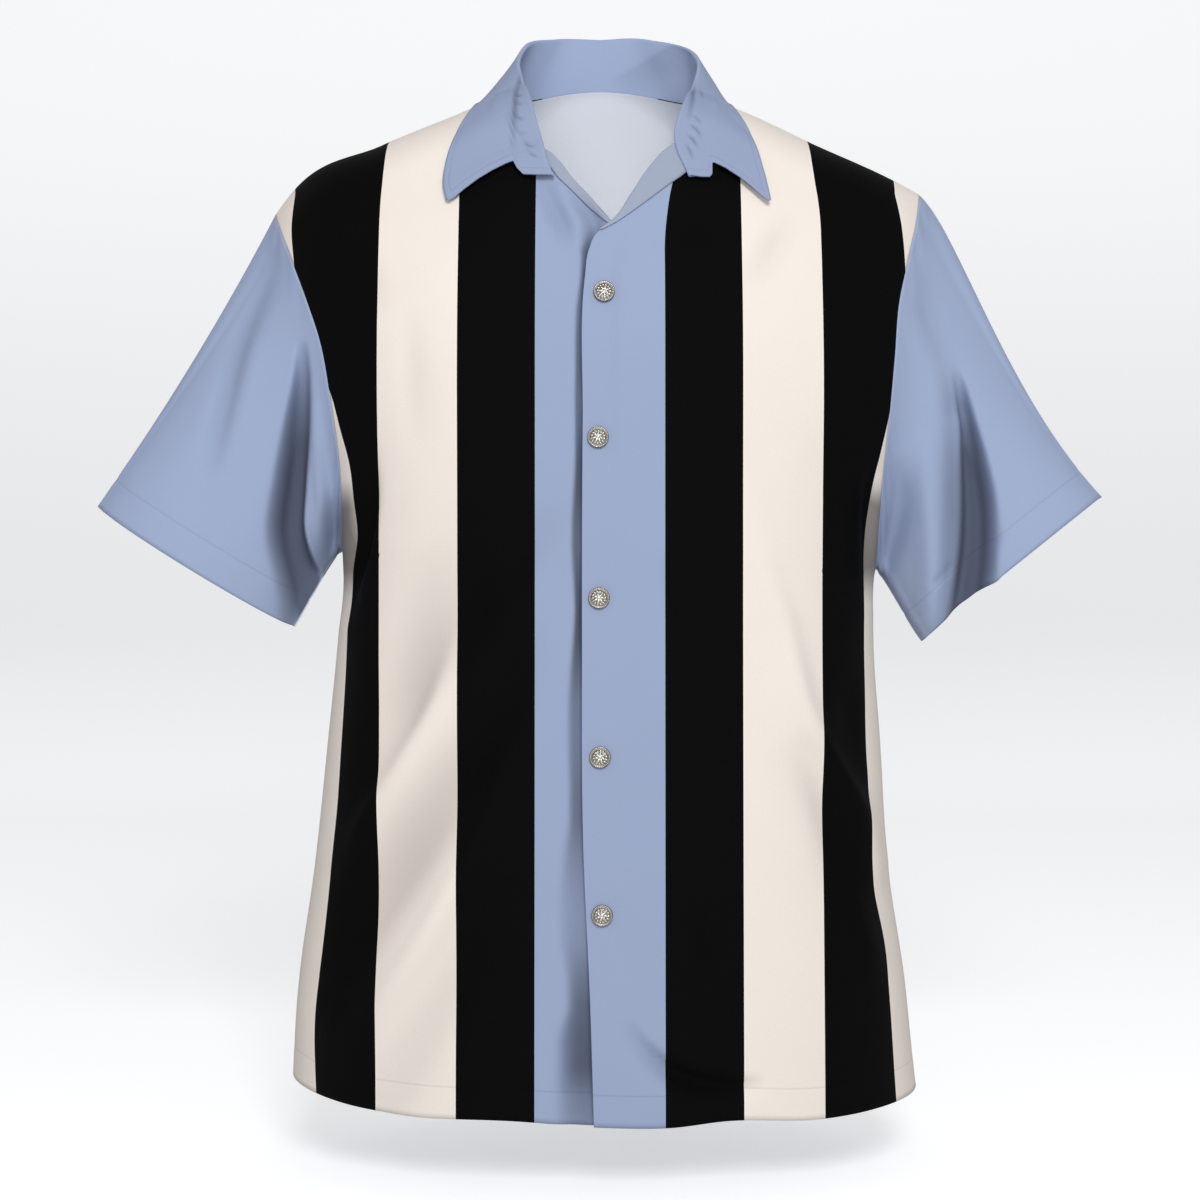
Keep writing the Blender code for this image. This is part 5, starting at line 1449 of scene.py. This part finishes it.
# A soft drag crosses the stand behind the neck, with a sharp upper edge.
behind_neck = ease((stand_steps + 1.0 - np.arange(len(collar_grid))) / 2.0)[:, None]
behind_neck = behind_neck * (collar_grid[..., 1] > neck_back)
stand_drag = crease_depth(collar_drag, collar_grid, 3) * behind_neck
before_neck = ease((neck_back - collar_grid[..., 1]) / neck_back) * on_fall
collar_depth = collar_depth + stand_drag
collar_grid = collar_grid - collar_out * collar_depth[..., None]
# Painted shade: darker in the collar's creases and drag, and over the whole fall by fall_shade.
collar_painted_shade = np.clip(collar_depth / deepest_collar_fold + fall_shade * before_neck, 0.0, 1.0)
collar_cut = flat_place(collar_grid)
to_outer_edge = collar_cut[-1:, :, 1] - collar_cut[..., 1]
collar_run = collar_cut[..., 0]
to_ends = np.minimum(collar_run, collar_run[:, -1:] - collar_run)
collar_edge = np.stack((np.minimum(to_outer_edge, to_ends), collar_run), axis=-1)
collar_cloth_piece = sew_cloth("collar_cloth", collar_grid, collar_cut, collar_edge, collar_cloth,
                               collar_cloth, collar_thickness, collar_out, collar_painted_shade)
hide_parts("collar")

# ----------------------------------------
# Buttons. Five round shank buttons pressed from metal, dished, with a raised flower and
# leaf ornament and a milled rim, silvered and darkened in the hollows. Sewn to the
# wearer's left front on the closure.
# ----------------------------------------
button_places = metres(((2.8, -160.6), (-1.4, -261.9), (-0.7, -373.6), (0, -483.9), (1.4, -592.8)))
button_turns = (0.35, 0.10, -0.20, 0.15, -0.10)
# Radius and height above the cloth, from the middle of the face round to the back.
button_profile = metres([
    (0, 2.8), (1.5, 2.8), (3, 2.6), (4.5, 2.3), (5.6, 1.9), (6, 1.9), (6.4, 2.4), (6.9, 2.5),
    (7.3, 2.1), (7.4, 1.4), (7.3, 0.6), (6.6, 0),
])
button_steps = 96
face_radius = 0.0056
rim_inner = 0.0057
rim_outer = 0.0071
front_height = 0.0015           # the pressed face and the rim lie above these heights
rim_height = 0.0018
milled_height = 0.0021
pressed_height = 0.00045
milled_depth = 0.00022
button_stand_off = 0.0006
petal_count = 7.0
leaf_count = 14.0
mill_count = 32.0
# How bright the metal is rubbed: in the face's hollows, on the rim and less in its milling, and
# behind. The raised parts are at 1. The sides are painted dark, as painted shade round the button.
hollow_shine = 0.08
rim_shine = 0.50
milled_shine = 0.35
painted_side_shade = 0.06
back_shine = 0.2


def ornament(radius, angle):
    """Height of the pressed ornament, 0 in its hollows to 1 on its raised parts."""
    share = radius / face_radius

    def band(middle, width):
        """1 on a ring of the face, falling to 0 beside it."""
        return np.exp(-((share - middle) / width) ** 2)

    petals = 0.5 + 0.5 * np.cos(petal_count * angle + 2.2 * share)
    leaves = 0.5 + 0.5 * np.cos(leaf_count * angle - 5.0 * share)
    pressed = band(0.0, 0.17) + band(0.30, 0.05) * 0.5 + petals * band(0.50, 0.15)
    pressed = pressed + leaves * band(0.84, 0.11) * 0.8
    return np.clip(pressed, 0.0, 1.0) * (share < 1.02)


silver, silver_tree, silver_shader = new_material("embossed silvered metal", {
    "Specular IOR Level": 0.5,
    "Metallic": 1.0,
})
raised = add_node(silver_tree, "Attribute")
raised.attribute_name = "raised"
wear = add_node(silver_tree, "TexNoise", {"Scale": 1400.0, "Detail": 3.0})
button_place = add_node(silver_tree, "TexCoord")
shine = add_node(silver_tree, "Clamp")
uneven = reckon(silver_tree, "SUBTRACT", wear.outputs[0], 0.5)
# Shine of the rubbed metal, and the painted shade on its sides.
rubbed_and_shaded = reckon(silver_tree, "MULTIPLY_ADD", uneven, 0.5, raised.outputs["Fac"])
silver_colour = mix_colours(silver_tree, shine.outputs[0], (0.070, 0.060, 0.046), (0.66, 0.64, 0.60))
silver_rough = reckon(silver_tree, "MULTIPLY_ADD", shine.outputs[0], -0.20, 0.42)
join(silver_tree, (button_place.outputs["Object"], wear.inputs["Vector"]), (rubbed_and_shaded, shine.inputs[0]),
     (silver_colour, silver_shader.inputs["Base Color"]),
     (silver_rough, silver_shader.inputs["Roughness"]))

for number, ((x, z), turn) in enumerate(zip(button_places, button_turns), start=1):
    name = f"button_{number}_metal"
    work = bmesh.new()
    face = np.linspace(0.0, face_radius, 25)
    radii = np.concatenate((face, button_profile[5:, 0]))
    lifts = np.concatenate((np.interp(face, *button_profile[:5].T), button_profile[5:, 1]))
    ring = [work.verts.new((radius, 0.0, lift)) for radius, lift in zip(radii, lifts)]
    ring.append(work.verts.new((0.0, 0.0, 0.0)))
    for first, second in zip(ring[:-1], ring[1:]):
        work.edges.new((first, second))
    bmesh.ops.spin(work, geom=work.verts[:] + work.edges[:], angle=2.0 * math.pi, steps=button_steps,
                   axis=(0, 0, 1), cent=(0, 0, 0), use_merge=True)
    bmesh.ops.remove_doubles(work, verts=work.verts, dist=0.000005)
    bmesh.ops.recalc_face_normals(work, faces=work.faces)
    high = work.verts.layers.float.new("raised")
    for vert in work.verts:
        radius = math.hypot(vert.co.x, vert.co.y)
        angle = math.atan2(vert.co.y, vert.co.x) + turn
        if vert.co.z > front_height and radius < rim_inner:
            pressed = float(ornament(radius, angle))
            vert.co.z += pressed_height * pressed
            vert[high] = hollow_shine + (1.0 - hollow_shine) * pressed
        elif radius > rim_inner:
            milling = 0.5 + 0.5 * math.cos(mill_count * angle)
            vert.co.z -= milled_depth * milling if vert.co.z > milled_height else 0.0
            on_rim = vert.co.z > rim_height and radius < rim_outer
            # Off the rim the sides are painted dark, as painted shade round the button's edge.
            vert[high] = rim_shine - milled_shine * milling if on_rim else painted_side_shade
        else:
            vert[high] = back_shine
    away = left_grid[..., (0, 2)] - np.array((x, z))
    nearest = np.unravel_index(np.argmin((away ** 2).sum(axis=-1)), away.shape[:2])
    normal = left_normals[nearest]
    reach = left_grid[nearest] - np.array((x, 0.0, z))
    y = left_grid[nearest][1] + (normal[0] * reach[0] + normal[2] * reach[2]) / normal[1]
    tilt = Vector((0.0, 0.0, 1.0)).rotation_difference(Vector(normal)).to_matrix()
    bmesh.ops.rotate(work, verts=work.verts, cent=(0, 0, 0), matrix=tilt)
    off_cloth = Vector(normal) * button_stand_off
    bmesh.ops.translate(work, verts=work.verts, vec=Vector((x, y, z)) + off_cloth)
    mesh = bpy.data.meshes.new(name)
    work.to_mesh(mesh)
    work.free()
    mesh.shade_smooth()
    mesh.set_sharp_from_angle(angle=math.radians(50))
    mesh.materials.append(silver)
    button = new_object(name, mesh)
    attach(button, "root")
    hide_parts(f"button_{number}")
